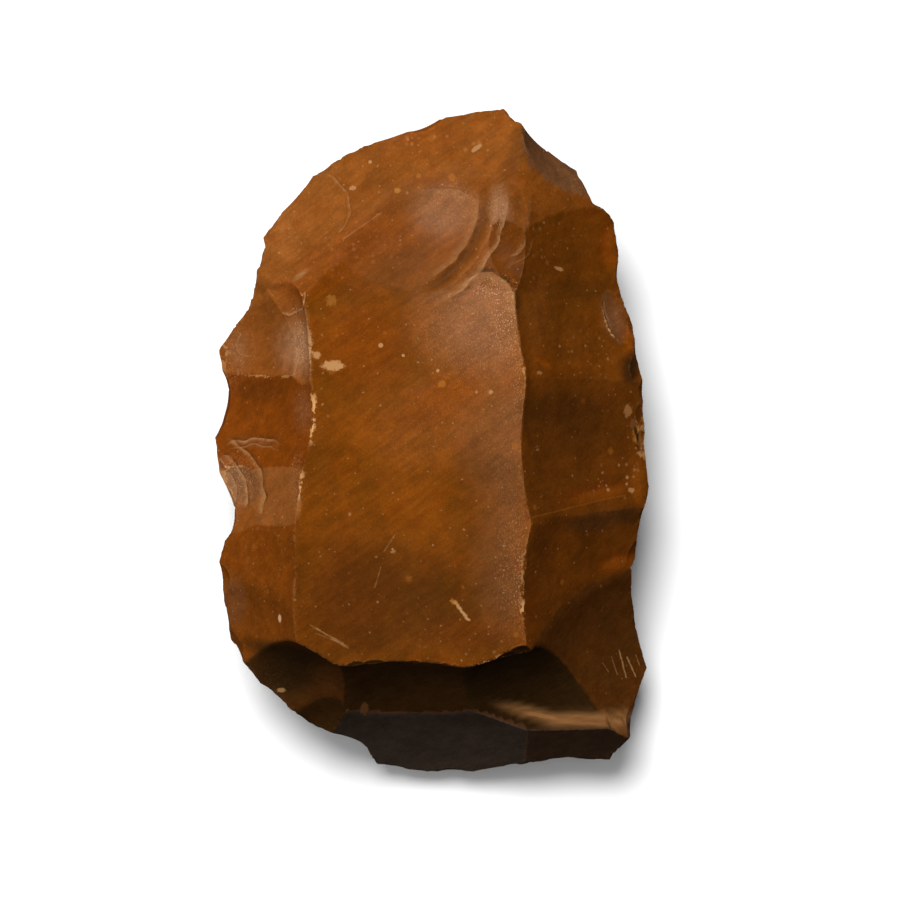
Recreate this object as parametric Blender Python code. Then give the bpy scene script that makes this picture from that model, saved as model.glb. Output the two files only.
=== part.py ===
"""A prepared flint core, lying on its worn underside with its longest scar up.

The stone is worked out as a knapper makes it. Each blow leaves a shallow bowl, its scar, and the
stone is what all the bowls leave standing. The ridges between the scars are nowhere drawn: they
come out where one bowl meets the next.

Axes: X across the stone, Y from the heavy butt to the thin tip, Z up. The origin is on the
surface that the stone lies on, under the middle of its outline.
"""
import math
from collections import namedtuple

import bmesh
import bpy
import numpy as np

# Driving dimensions, in metres
LENGTH = 0.1105         # butt to tip
WIDTH = 0.0723          # across the widest part
THICKNESS = 0.034       # underside to the highest ridge
REST_SPOT = 0.030       # across the worn flat underneath

# The knapped edge and the underside
EDGE_LEAN = 24.0        # degrees that the edge scars lean in below the rim
EDGE_HOLLOW = 0.03      # depth of an edge scar, as a share of its length along the rim
EDGE_SHARE = 0.30       # share of the rim's height that the edge scars take
EDGE_BOWL = 40.0        # radius of the edge scars downwards, in pattern millimetres
UNDER_SCARS = 9         # broad scars that trim the underside
UNDER_SWAY = 9.0        # degrees by which their places wander from an even spacing
UNDER_BOWL = (60.0, 35.0)   # their radii towards the flat and across, in pattern millimetres

# The faceted solid
CELLS_ACROSS = 28
CELLS_ALONG = 42
CELLS_HIGH = 17
HALVINGS = 18           # steps in the search for a ridge between two scars
RIDGE_PASSES = 2        # rounds in which corners of the solid are brought onto ridges

# The pattern: the stone from above on a grid of small squares, X to the right and Y down.
# A pattern millimetre is six squares at the length the pattern was drawn for.
GRID_LEFT, GRID_RIGHT = 215.0, 649.0
GRID_TOP, GRID_BOTTOM = 111.0, 774.0
SQUARES_PER_MM = 6.0
MM = LENGTH / ((GRID_BOTTOM - GRID_TOP) / SQUARES_PER_MM)

# A blow: where its scar starts on the pattern, the compass direction that the scar faces
# (0 is +X, 90 is +Y) and its slope in degrees, its radii along and across the blow in pattern
# millimetres (0 is flat, a negative one swells), how deep it bites and which way it runs
Blow = namedtuple("Blow", "name at faces slope along across bite run", defaults=(0.0, None))

BLOWS = [
    Blow("main_panel", (412, 480), 190, 2, -260, 75, 0.0, 90),
    Blow("upper_band", (425, 200), 112, 26, 0, 0),
    Blow("right_upper", (518, 210), 16, 40, 0, 0),
    Blow("grey_facet", (550, 183), 42, 66, 40, 22),
    Blow("hinge_outer", (480, 235), 120, 8, 34, 40, 0.9, -20),
    Blow("ripple_scar", (432, 238), 112, 11, 44, 46, 1.5, -20),
    Blow("right_mid", (517, 325), 0, 46, 90, 60),
    Blow("right_long", (519, 430), 0, 49, 90, 60),
    Blow("right_low", (522, 572), 352, 52, 90, 60),
    Blow("right_corner", (568, 601), 336, 58, 60, 26, 0.0, 345),
    Blow("left_top", (345, 205), 150, 40, 80, 42),
    Blow("left_upper", (298, 303), 190, 57, 60, 40),
    Blow("left_pale", (313, 350), 180, 58, 45, 20),
    Blow("left_mid", (316, 412), 178, 56, 60, 26),
    Blow("left_small", (303, 470), 182, 58, 40, 32),
    Blow("left_long", (298, 560), 182, 55, 60, 60),
    Blow("left_notch", (254, 522), 170, 62, 12, 9),
    Blow("left_foot", (258, 585), 215, 56, 40, 20),
    Blow("butt_left", (288, 639), 240, 66, 18, 13),
    Blow("butt_mid", (400, 658), 270, 68, 26, 45),
    Blow("butt_right", (545, 649), 276, 73, 11, 46),
    Blow("butt_low", (440, 712), 266, 60, 60, 120),
    Blow("butt_low_right", (590, 728), 270, 58, 60, 200),
    Blow("butt_chip", (338, 700), 235, 66, 18, 7),
]

# The corners of the rim on the pattern, clockwise from the tip: where two edge scars meet
RIM = [
    (480, 114), (504, 111), (515, 123), (576, 172), (592, 204), (604, 209), (614, 222),
    (619, 253), (617, 283), (633, 326), (643, 383), (645, 430), (649, 490), (640, 520),
    (636, 558), (631, 568), (634, 605), (648, 668), (634, 712), (631, 735), (610, 760),
    (587, 761), (577, 757), (530, 760), (475, 773), (432, 774), (388, 770), (376, 766),
    (366, 750), (320, 730), (309, 722), (290, 708), (261, 682), (240, 653), (229, 640),
    (225, 600), (220, 556), (225, 538), (231, 533), (235, 508), (219, 472), (215, 438),
    (222, 416), (227, 390), (219, 350), (236, 326), (249, 310), (256, 287), (266, 248),
    (264, 238), (281, 216), (314, 178), (341, 160), (362, 149), (440, 121),
]

UP = np.array([0.0, 0.0, 1.0])
HEART = np.array([0.0, 0.0, 0.4 * THICKNESS])   # inside the stone, in sight of all its surface

# A scar: a point on it, its outward normal, the directions along and across it, and how much
# it curves along each of them
Scar = namedtuple("Scar", "point normal along across bend_along bend_across")


def plan(square):
    """The place in metres of a grid point of the pattern."""
    across = (square[0] - GRID_LEFT) / (GRID_RIGHT - GRID_LEFT) - 0.5
    down = (square[1] - GRID_TOP) / (GRID_BOTTOM - GRID_TOP) - 0.5
    return np.array([across * WIDTH, -down * LENGTH, 0.0])


def compass(degrees):
    """The level direction at a compass angle."""
    return np.array([math.cos(math.radians(degrees)), math.sin(math.radians(degrees)), 0.0])


def unit(vector):
    return vector / np.linalg.norm(vector)


def bend(radius):
    """How much a scar of this radius curves. A radius of 0 stands for a flat scar."""
    return 1.0 / (radius * MM) if radius else 0.0


def make_scar(point, normal, heading, along, across):
    """A scar through a point, with its radii along the heading and across it."""
    heading = unit(heading - normal * (heading @ normal))
    return Scar(point, normal, heading, np.cross(normal, heading), bend(along), bend(across))


def reach(scar, start, directions):
    """How far each ray from the start goes before it meets the scar."""
    offset = start - scar.point
    along, across, out = offset @ scar.along, offset @ scar.across, offset @ scar.normal
    d_along, d_across = directions @ scar.along, directions @ scar.across
    a = -(scar.bend_along * d_along ** 2 + scar.bend_across * d_across ** 2) / 2
    b = (directions @ scar.normal
         - scar.bend_along * along * d_along - scar.bend_across * across * d_across)
    c = out - (scar.bend_along * along ** 2 + scar.bend_across * across ** 2) / 2
    inside = b * b - 4 * a * c
    root = b + np.sqrt(np.maximum(inside, 0.0))
    meets = (inside > 0) & (root > 1e-9)
    return np.where(meets, -2 * c / np.where(meets, root, 1.0), np.inf)


def height_over(scars, place):
    """The height of the upper side over a place in the plan."""
    start = np.array([place[0], place[1], 0.1 * THICKNESS])
    return start[2] + min(reach(scar, start, UP[None])[0] for scar in scars)


def strike(crown):
    """The upper side's scars, blow after blow, with the first at the height of the crown."""
    scars = []
    for blow in BLOWS:
        point = plan(blow.at)
        point[2] = height_over(scars, point) - blow.bite * MM if scars else crown
        slope = math.radians(blow.slope)
        normal = compass(blow.faces) * math.sin(slope) + UP * math.cos(slope)
        heading = compass(blow.faces if blow.run is None else blow.run)
        scars.append(make_scar(point, normal, heading, blow.along, blow.across))
    return scars


def strike_to_thickness():
    """The upper side's scars, raised or lowered until the highest ridge has the thickness."""
    low = THICKNESS / 2
    trial = strike(low)
    corners = [plan(square) for square in RIM]
    spots = [corner * share for corner in corners for share in np.linspace(0.0, 0.95, 40)]
    highest = max(height_over(trial, spot) for spot in spots)
    return strike(low + THICKNESS - highest)


def edge_scars(upper):
    """The short steep scars below the rim, one from each corner to the next, anticlockwise."""
    corners = [plan(square) for square in reversed(RIM)]
    for corner in corners:
        corner[2] = height_over(upper, corner)
    lean = math.radians(EDGE_LEAN)
    scars = []
    for start, end in zip(corners, corners[1:] + corners[:1]):
        chord = unit(end - start)
        outward = unit(np.cross(chord, UP))
        normal = outward * math.cos(lean) - UP * math.sin(lean)
        normal = unit(normal - chord * (normal @ chord))
        length = np.linalg.norm(end - start)
        depth = EDGE_HOLLOW * length
        middle = (start + end) / 2 - normal * depth
        across = length ** 2 / (8 * depth) / MM
        scars.append(make_scar(middle, normal, -UP, EDGE_BOWL, across))
    return corners, scars


def turns_inward(before, here, after):
    """Whether the rim turns in at a corner by more than the hollows beside it open out."""
    turn = np.cross(unit((here - before) * (1, 1, 0)), unit((after - here) * (1, 1, 0)))[2]
    return turn < -8 * EDGE_HOLLOW


def rim_at(corners, degrees):
    """The point of the rim in a compass direction from the middle."""
    ahead = compass(degrees)
    for start, end in zip(corners, corners[1:] + corners[:1]):
        a, b = np.cross(ahead, start)[2], np.cross(ahead, end)[2]
        if a <= 0 < b and (start + end) @ ahead > 0:
            return start + (end - start) * (-a / (b - a))
    raise ValueError(f"The rim does not close at {degrees} degrees")


def under_scars(corners):
    """The broad scars from the edge down to the flat, spaced a little unevenly, and the flat."""
    scars = []
    for number in range(UNDER_SCARS):
        degrees = 360 * number / UNDER_SCARS + UNDER_SWAY * math.sin(2.4 * number) - 170
        rim = rim_at(corners, degrees)
        drop = EDGE_SHARE * rim[2]
        top = rim - UP * drop - compass(degrees) * drop * math.tan(math.radians(EDGE_LEAN))
        foot = compass(degrees) * REST_SPOT / 2
        slant = unit(foot - top)
        normal = unit(np.cross(slant, np.cross(slant, UP)))
        scars.append(make_scar((top + foot) / 2 - normal * 0.6 * MM, normal, slant, *UNDER_BOWL))
    scars.append(make_scar(np.zeros(3), -UP, compass(0), 0, 0))
    return scars


class Stone:
    """All the scars together, and how far the stone reaches along any ray from its heart."""

    def __init__(self):
        self.upper = strike_to_thickness()
        self.corners, self.edge = edge_scars(self.upper)
        self.broad = self.upper + under_scars(self.corners)
        turns = [math.atan2(corner[1], corner[0]) for corner in self.corners]
        self.first = int(np.argmin(turns))
        self.turns = np.roll(turns, -self.first)
        following = self.corners[1:] + self.corners[:1]
        before = self.corners[-1:] + self.corners[:-1]
        self.inward = np.array([turns_inward(*three) for three
                                in zip(before, self.corners, following)])

    def edge_reach(self, directions):
        """The reach to the edge scars. Two of them meet at each corner of the rim: an outward
        corner keeps what both leave, an inward one what either leaves."""
        count = len(self.edge)
        turn = np.arctan2(directions[:, 1], directions[:, 0])
        place = np.searchsorted(self.turns, turn, side="right") - 1
        ends = np.append(self.turns, self.turns[0] + 2 * math.pi)
        starts = np.where(place < 0, self.turns[-1] - 2 * math.pi, self.turns[place])
        past = turn > (starts + ends[np.maximum(place, -1) + 1]) / 2
        own = (place + self.first) % count
        other = (own + np.where(past, 1, -1)) % count
        corner = np.where(past, (own + 1) % count, own)
        reaches = np.stack([reach(scar, HEART, directions) for scar in self.edge])
        rows = np.arange(len(directions))
        mine, theirs = reaches[own, rows], reaches[other, rows]
        distance = np.where(self.inward[corner], np.maximum(mine, theirs),
                            np.minimum(mine, theirs))
        return distance, np.where(distance == mine, own, other)

    def surface(self, directions):
        """The reach along each direction, and the number of the scar met there."""
        broad = np.stack([reach(scar, HEART, directions) for scar in self.broad])
        number = broad.argmin(0)
        distance = broad.min(0)
        edge, edge_number = self.edge_reach(directions)
        return (np.minimum(distance, edge),
                np.where(edge < distance, len(self.broad) + edge_number, number))


def box_cells():
    """The corners of a box of cells, as directions from the heart, and its square faces."""
    counts = (CELLS_ACROSS, CELLS_ALONG, CELLS_HIGH)
    numbers = {}
    corners = []
    faces = []

    def corner(cell):
        if cell not in numbers:
            numbers[cell] = len(corners)
            even = [math.tan((2 * at / count - 1) * math.pi / 4)
                    for at, count in zip(cell, counts)]
            corners.append(even)
        return numbers[cell]

    for axis in range(3):
        u, v = (axis + 1) % 3, (axis + 2) % 3
        for side in (0, counts[axis]):
            for i in range(counts[u]):
                for j in range(counts[v]):
                    ring = []
                    for di, dj in ((0, 0), (1, 0), (1, 1), (0, 1)):
                        cell = [0, 0, 0]
                        cell[axis], cell[u], cell[v] = side, i + di, j + dj
                        ring.append(corner(tuple(cell)))
                    faces.append(ring if side else ring[::-1])
    points = np.array(corners)
    points /= np.linalg.norm(points, axis=1, keepdims=True)
    points *= (WIDTH / 2, LENGTH / 2, THICKNESS / 2)
    return points / np.linalg.norm(points, axis=1, keepdims=True), np.array(faces)


def to_the_rim(stone, directions):
    """Turns the nearest direction to each corner of the rim exactly onto that corner."""
    taken = set()
    for corner in stone.corners:
        towards = unit(corner - HEART)
        for nearest in np.argsort(-(directions @ towards))[:4]:
            if nearest not in taken:
                taken.add(int(nearest))
                directions[nearest] = towards
                break
    return taken


def to_the_ridges(stone, directions, faces, keep):
    """Turns directions beside a ridge onto it, so that ridges run along the solid's edges."""
    pairs = np.concatenate([faces[:, [k, (k + 1) % 4]] for k in range(4)])
    pairs = np.unique(np.sort(pairs, axis=1), axis=0)
    number = stone.surface(directions)[1]
    pairs = pairs[number[pairs[:, 0]] != number[pairs[:, 1]]]
    low, high = np.zeros(len(pairs)), np.ones(len(pairs))
    start, end = directions[pairs[:, 0]], directions[pairs[:, 1]]
    for _ in range(HALVINGS):
        middle = (low + high) / 2
        blend = start + (end - start) * middle[:, None]
        blend /= np.linalg.norm(blend, axis=1, keepdims=True)
        before = stone.surface(blend)[1] == number[pairs[:, 0]]
        low, high = np.where(before, middle, low), np.where(before, high, middle)
    moved = {}
    for (a, b), share, from_a, from_b in zip(pairs, low, start, end):
        near, gap = (a, share) if share < 0.5 else (b, 1 - share)
        if near not in keep and gap < moved.get(near, 1.0):
            moved[near] = gap
            directions[near] = unit(from_a + (from_b - from_a) * share)
    return keep | set(moved)


def split(stone, points, faces):
    """Cuts each square in two along the diagonal that lies closer to the stone."""
    triangles = []
    for diagonal in (0, 1):
        middles = (points[faces[:, diagonal]] + points[faces[:, diagonal + 2]]) / 2 - HEART
        lengths = np.linalg.norm(middles, axis=1)
        true = stone.surface(middles / lengths[:, None])[0]
        triangles.append(np.abs(true - lengths))
    for ring, first, second in zip(faces, *triangles):
        k = 0 if first <= second else 1
        triangles_of_ring = ((ring[k], ring[k + 1], ring[k + 2]),
                             (ring[k + 2], ring[(k + 3) % 4], ring[k]))
        yield from triangles_of_ring


def flint_material():
    """Brown flint with a soft gloss."""
    material = bpy.data.materials.new("brown_flint")
    material.use_nodes = True
    shader = material.node_tree.nodes["Principled BSDF"]
    shader.inputs["Base Color"].default_value = (0.19, 0.066, 0.014, 1.0)
    shader.inputs["Roughness"].default_value = 0.42
    shader.inputs["Metallic"].default_value = 0.0
    return material


def build_core():
    """The whole core as one closed solid."""
    stone = Stone()
    directions, faces = box_cells()
    kept = to_the_rim(stone, directions)
    for _ in range(RIDGE_PASSES):
        kept = to_the_ridges(stone, directions, faces, kept)
    points = HEART + directions * stone.surface(directions)[0][:, None]
    mesh = bpy.data.meshes.new("flint_core")
    body = bmesh.new()
    corners = [body.verts.new(point) for point in points]
    for triangle in split(stone, points, faces):
        body.faces.new([corners[number] for number in triangle])
    bmesh.ops.recalc_face_normals(body, faces=body.faces)
    body.to_mesh(mesh)
    body.free()
    core = bpy.data.objects.new("flint_core", mesh)
    mesh.materials.append(flint_material())
    bpy.context.collection.objects.link(core)
    return core


for leftover in list(bpy.data.objects):
    bpy.data.objects.remove(leftover, do_unlink=True)
core = build_core()
low = np.array([corner.co for corner in core.data.vertices]).min(0)
high = np.array([corner.co for corner in core.data.vertices]).max(0)
print("flint_core", len(core.data.polygons), "triangles, from", low.round(5), "to", high.round(5))
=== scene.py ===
# %% [markdown]
# # A prepared flint core
#
# This lesson dresses a single stone: a core of honey-brown flint, the block that is left when
# blades and flakes have been struck off it. It lies on its worn underside with the longest scar
# up, and the camera looks straight down at it.
#
# Almost everything that the eye reads on a core is how flint breaks. A blow sends a shallow bowl
# through the stone, and where two bowls meet there is a ridge. So the stone could be sculpted by
# hand, or a rock shape could be cut with booleans, but the best way is the knapper's own: work
# out the bowls, and let the ridges come out by themselves.

# %% Loading the frame
import math
from collections import namedtuple

import bpy
import numpy as np
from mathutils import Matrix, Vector, kdtree


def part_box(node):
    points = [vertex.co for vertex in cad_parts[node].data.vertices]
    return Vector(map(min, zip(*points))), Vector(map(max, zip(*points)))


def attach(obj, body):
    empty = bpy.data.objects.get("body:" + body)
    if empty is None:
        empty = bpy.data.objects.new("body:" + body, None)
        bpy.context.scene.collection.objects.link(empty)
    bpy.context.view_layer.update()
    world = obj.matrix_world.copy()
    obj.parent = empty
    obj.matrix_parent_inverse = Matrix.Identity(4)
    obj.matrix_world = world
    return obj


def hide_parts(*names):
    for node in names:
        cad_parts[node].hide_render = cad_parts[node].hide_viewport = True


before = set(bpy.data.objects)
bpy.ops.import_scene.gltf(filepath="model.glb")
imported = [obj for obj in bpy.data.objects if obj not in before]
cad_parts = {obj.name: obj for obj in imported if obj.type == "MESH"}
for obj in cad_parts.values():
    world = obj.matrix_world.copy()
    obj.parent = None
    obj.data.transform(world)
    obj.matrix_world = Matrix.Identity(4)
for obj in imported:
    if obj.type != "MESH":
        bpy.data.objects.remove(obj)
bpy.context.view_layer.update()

low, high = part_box("flint_core")
WIDTH, LENGTH, THICKNESS = high - low
print(f"The stone is {WIDTH * 1000:.1f} x {LENGTH * 1000:.1f} x {THICKNESS * 1000:.1f} mm")

# %% [markdown]
# ## A pattern to work from
#
# A knapper sees the stone from above and picks the spots to strike. The same goes here: every
# spot is given on a flat pattern of small squares, X to the right and Y down, which is laid over
# the stone's own length and width. Six squares are a millimetre. A pattern keeps all places
# readable, and it follows the frame if the stone is ever made longer or wider.

# %% The pattern
GRID_LEFT, GRID_RIGHT = 215.0, 649.0
GRID_TOP, GRID_BOTTOM = 111.0, 774.0
SQUARES_PER_MM = 6.0
MM = LENGTH / ((GRID_BOTTOM - GRID_TOP) / SQUARES_PER_MM)
UP = np.array([0.0, 0.0, 1.0])
HEART = np.array([0.0, 0.0, 0.4 * THICKNESS])   # inside the stone, in sight of all its surface


def plan(square):
    """The place in metres of a grid point of the pattern."""
    across = (square[0] - GRID_LEFT) / (GRID_RIGHT - GRID_LEFT) - 0.5
    down = (square[1] - GRID_TOP) / (GRID_BOTTOM - GRID_TOP) - 0.5
    return np.array([across * WIDTH, -down * LENGTH, 0.0])


def compass(degrees):
    """The level direction at a compass angle: 0 is +X, 90 is +Y."""
    return np.array([math.cos(math.radians(degrees)), math.sin(math.radians(degrees)), 0.0])


def unit(vector):
    return vector / np.linalg.norm(vector)


print(f"A pattern millimetre is {MM * 1000:.3f} mm on the stone")

# %% [markdown]
# ## What a blow leaves
#
# A flake scar is a shallow bowl, longer than it is wide, that runs away from where the blow fell.
# A paraboloid is the simplest bowl: one radius along the blow, one across it. Its best quality is
# that a straight ray meets it at a place that the school formula for a quadratic gives at once.
# So the whole stone can be asked, for any ray from its heart, which scar the ray meets first.

# %% Bowls and rays
Scar = namedtuple("Scar", "point normal along across bend_along bend_across")


def bend(radius):
    """How much a scar of this radius curves. A radius of 0 stands for a flat scar."""
    return 1.0 / (radius * MM) if radius else 0.0


def make_scar(point, normal, heading, along, across):
    """A scar through a point, with its radii along the heading and across it."""
    heading = unit(heading - normal * (heading @ normal))
    return Scar(point, normal, heading, np.cross(normal, heading), bend(along), bend(across))


def reach(scar, start, directions):
    """How far each ray from the start goes before it meets the scar."""
    offset = start - scar.point
    along, across, out = offset @ scar.along, offset @ scar.across, offset @ scar.normal
    d_along, d_across = directions @ scar.along, directions @ scar.across
    a = -(scar.bend_along * d_along ** 2 + scar.bend_across * d_across ** 2) / 2
    b = (directions @ scar.normal
         - scar.bend_along * along * d_along - scar.bend_across * across * d_across)
    c = out - (scar.bend_along * along ** 2 + scar.bend_across * across ** 2) / 2
    inside = b * b - 4 * a * c
    root = b + np.sqrt(np.maximum(inside, 0.0))
    meets = (inside > 0) & (root > 1e-9)
    return np.where(meets, -2 * c / np.where(meets, root, 1.0), np.inf)


def height_over(scars, place):
    """The height of the upper side over a place in the plan."""
    start = np.array([place[0], place[1], 0.1 * THICKNESS])
    return start[2] + min(reach(scar, start, UP[None])[0] for scar in scars)


lid = make_scar(UP * THICKNESS, UP, compass(0), 0, 0)
lid_gap = reach(lid, HEART, UP[None])[0]
print(f"A ray straight up from the heart meets a flat lid after {lid_gap * 1000:.1f} mm")

# %% [markdown]
# ## The upper side, blow by blow
#
# The long panel down the middle came first, then the scars at the tip, then the short steep ones
# that trimmed the sides and the butt. They are listed in that order, because each blow falls on
# what the ones before it have left. A blow gives its spot on the pattern, the way its scar faces,
# its slope, its two radii, how deep it bites and which way it runs.

# %% The blows
Blow = namedtuple("Blow", "name at faces slope along across bite run", defaults=(0.0, None))

BLOWS = [
    Blow("main_panel", (412, 480), 190, 2, -260, 75, 0.0, 90),
    Blow("upper_band", (425, 200), 112, 26, 0, 0),
    Blow("right_upper", (518, 210), 16, 40, 0, 0),
    Blow("grey_facet", (550, 183), 42, 66, 40, 22),
    Blow("hinge_outer", (480, 235), 120, 8, 34, 40, 0.9, -20),
    Blow("ripple_scar", (432, 238), 112, 11, 44, 46, 1.5, -20),
    Blow("right_mid", (515, 320), 11, 50, 90, 60),
    Blow("right_long", (520, 430), 358, 49, 90, 60),
    Blow("right_low", (522, 572), 352, 52, 90, 60),
    Blow("right_corner", (568, 601), 336, 58, 60, 26, 0.0, 345),
    Blow("left_top", (345, 205), 150, 40, 80, 42),
    Blow("left_upper", (298, 303), 190, 57, 60, 40),
    Blow("left_pale", (313, 350), 180, 58, 45, 20),
    Blow("left_mid", (316, 412), 178, 56, 60, 26),
    Blow("left_small", (303, 470), 182, 58, 40, 32),
    Blow("left_long", (298, 560), 182, 55, 60, 60),
    Blow("left_notch", (254, 522), 170, 62, 12, 9),
    Blow("left_foot", (258, 585), 215, 56, 40, 20),
    Blow("butt_left", (278, 640), 252, 68, 18, 30),
    Blow("butt_mid", (400, 658), 270, 68, 26, 45),
    Blow("butt_right", (545, 649), 276, 73, 11, 46),
    Blow("butt_low", (440, 712), 266, 60, 60, 120),
    Blow("butt_low_right", (590, 728), 270, 58, 60, 200),
    Blow("butt_chip", (338, 700), 235, 66, 18, 7),
]
UPPER_NAMES = [blow.name for blow in BLOWS]


def strike(crown):
    """The upper side's scars, blow after blow, with the first at the height of the crown."""
    scars = []
    for blow in BLOWS:
        point = plan(blow.at)
        point[2] = height_over(scars, point) - blow.bite * MM if scars else crown
        slope = math.radians(blow.slope)
        normal = compass(blow.faces) * math.sin(slope) + UP * math.cos(slope)
        heading = compass(blow.faces if blow.run is None else blow.run)
        scars.append(make_scar(point, normal, heading, blow.along, blow.across))
    return scars


print(len(BLOWS), "blows on the upper side")

# %% [markdown]
# ## The rim and the underside
#
# Seen from above, a core's outline is a chain of small bites: one for each flake that was
# trimmed off below the edge. The corners of that chain go on the pattern, and a loop hangs a
# steep shallow scar from each corner to the next. The underside can't be seen from above. It gets
# the plain answer, nine broad scars that run in to the worn flat that the stone rests on.

# %% The corners of the rim, clockwise from the tip
RIM = [
    (480, 114), (504, 111), (515, 123), (576, 172), (592, 204), (604, 209), (614, 222),
    (619, 253), (617, 283), (633, 326), (643, 383), (645, 430), (649, 490), (640, 520),
    (636, 558), (631, 568), (634, 605), (648, 668), (634, 712), (631, 735), (610, 760),
    (587, 761), (575, 758), (530, 764), (475, 773), (432, 774), (388, 770), (376, 766),
    (366, 750), (320, 730), (309, 722), (290, 708), (261, 682), (240, 653), (229, 640),
    (225, 600), (220, 556), (225, 538), (231, 533), (235, 508), (219, 472), (215, 438),
    (222, 416), (227, 390), (219, 350), (236, 326), (249, 310), (256, 287), (266, 248),
    (264, 238), (281, 216), (314, 178), (341, 160), (362, 149), (440, 121),
]
EDGE_LEAN = 24.0        # degrees that the edge scars lean in below the rim
EDGE_HOLLOW = 0.03      # depth of an edge scar, as a share of its length along the rim
EDGE_SHARE = 0.30       # share of the rim's height that the edge scars take
EDGE_BOWL = 40.0        # radius of the edge scars downwards, in pattern millimetres


def edge_scars(upper):
    """The short steep scars below the rim, one from each corner to the next, anticlockwise."""
    corners = [plan(square) for square in reversed(RIM)]
    for corner in corners:
        corner[2] = height_over(upper, corner)
    lean = math.radians(EDGE_LEAN)
    scars = []
    for start, end in zip(corners, corners[1:] + corners[:1]):
        chord = unit(end - start)
        outward = unit(np.cross(chord, UP))
        normal = outward * math.cos(lean) - UP * math.sin(lean)
        normal = unit(normal - chord * (normal @ chord))
        length = np.linalg.norm(end - start)
        depth = EDGE_HOLLOW * length
        middle = (start + end) / 2 - normal * depth
        scars.append(make_scar(middle, normal, -UP, EDGE_BOWL, length ** 2 / (8 * depth) / MM))
    return corners, scars


def turns_inward(before, here, after):
    """Whether the rim turns in at a corner by more than the hollows beside it open out."""
    turn = np.cross(unit((here - before) * (1, 1, 0)), unit((after - here) * (1, 1, 0)))[2]
    return turn < -8 * EDGE_HOLLOW


print(len(RIM), "corners on the rim")

# %% The underside
REST_SPOT = 0.030           # across the worn flat, in metres
UNDER_SCARS = 9
UNDER_SWAY = 9.0            # degrees by which their places wander from an even spacing
UNDER_BOWL = (60.0, 35.0)   # their radii towards the flat and across, in pattern millimetres


def rim_at(corners, degrees):
    """The point of the rim in a compass direction from the middle."""
    ahead = compass(degrees)
    for start, end in zip(corners, corners[1:] + corners[:1]):
        a, b = np.cross(ahead, start)[2], np.cross(ahead, end)[2]
        if a <= 0 < b and (start + end) @ ahead > 0:
            return start + (end - start) * (-a / (b - a))
    raise ValueError(f"The rim does not close at {degrees} degrees")


def under_scars(corners):
    """The broad scars from the edge down to the flat, spaced a little unevenly, and the flat."""
    scars = []
    for number in range(UNDER_SCARS):
        degrees = 360 * number / UNDER_SCARS + UNDER_SWAY * math.sin(2.4 * number) - 170
        rim = rim_at(corners, degrees)
        drop = EDGE_SHARE * rim[2]
        top = rim - UP * drop - compass(degrees) * drop * math.tan(math.radians(EDGE_LEAN))
        foot = compass(degrees) * REST_SPOT / 2
        slant = unit(foot - top)
        normal = unit(np.cross(slant, np.cross(slant, UP)))
        scars.append(make_scar((top + foot) / 2 - normal * 0.6 * MM, normal, slant, *UNDER_BOWL))
    scars.append(make_scar(np.zeros(3), -UP, compass(0), 0, 0))
    return scars


print(f"The worn flat is {REST_SPOT * 1000:.0f} mm across")

# %% [markdown]
# ## The grid of rays
#
# A mesh for the stone could be a sphere of rays, but a ball has crowded poles and few corners on
# its sides. A box of small cells blown up to the stone's own proportions spreads its corners
# evenly and is all squares. Half a millimetre between corners is fine enough for the chips.

# %% A box of cells as directions from the heart
CELLS = (140, 214, 44)      # across, along and up the stone


def box_cells():
    """The corners of a box of cells, as directions from the heart, and its square faces."""
    numbers = {}
    corners = []
    faces = []

    def corner(cell):
        if cell not in numbers:
            numbers[cell] = len(corners)
            corners.append([math.tan((2 * at / count - 1) * math.pi / 4)
                            for at, count in zip(cell, CELLS)])
        return numbers[cell]

    for axis in range(3):
        u, v = (axis + 1) % 3, (axis + 2) % 3
        for side in (0, CELLS[axis]):
            for i in range(CELLS[u]):
                for j in range(CELLS[v]):
                    ring = []
                    for di, dj in ((0, 0), (1, 0), (1, 1), (0, 1)):
                        cell = [0, 0, 0]
                        cell[axis], cell[u], cell[v] = side, i + di, j + dj
                        ring.append(corner(tuple(cell)))
                    faces.append(ring if side else ring[::-1])
    points = np.array(corners)
    points /= np.linalg.norm(points, axis=1, keepdims=True)
    points *= (WIDTH / 2, LENGTH / 2, THICKNESS / 2)
    return points / np.linalg.norm(points, axis=1, keepdims=True), np.array(faces)


directions, squares = box_cells()
print(len(directions), "rays and", len(squares), "squares")


# %% Raising the crown until the highest ridge is at the frame's height
def top_of(scars):
    """The highest place that these scars leave, looking only at rays that go upwards."""
    rays = directions[directions[:, 2] > 0.2]
    lengths = np.stack([reach(scar, HEART, rays) for scar in scars]).min(0)
    return (HEART + rays * lengths[:, None])[:, 2].max()


first_crown = 0.9 * THICKNESS
crown = first_crown + THICKNESS - top_of(strike(first_crown))
upper = strike(crown)
corners, edge = edge_scars(upper)
under = under_scars(corners)
print(len(upper), "upper scars,", len(edge), "edge scars and", len(under), "under scars")

# %% [markdown]
# ## Small chips
#
# An edge of flint is as thin as glass, and it chips whenever it is struck, ground or dropped. On
# the real core the rim is bitten all the way round, and the long ridges are nibbled. Chips could
# be faked with a bump map, but they cut the outline, so they are real little scars. The ones that
# stand out are named. Loops with a fixed seed add the rest along the rim and the ridges.

# %% The chips that stand out
# Name, spot, how many degrees it leans out from the scar it lies on, the compass direction of its
# length, and half its length, half its width and its depth in mm
Chip = namedtuple("Chip", "name at lean run long wide deep")

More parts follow.
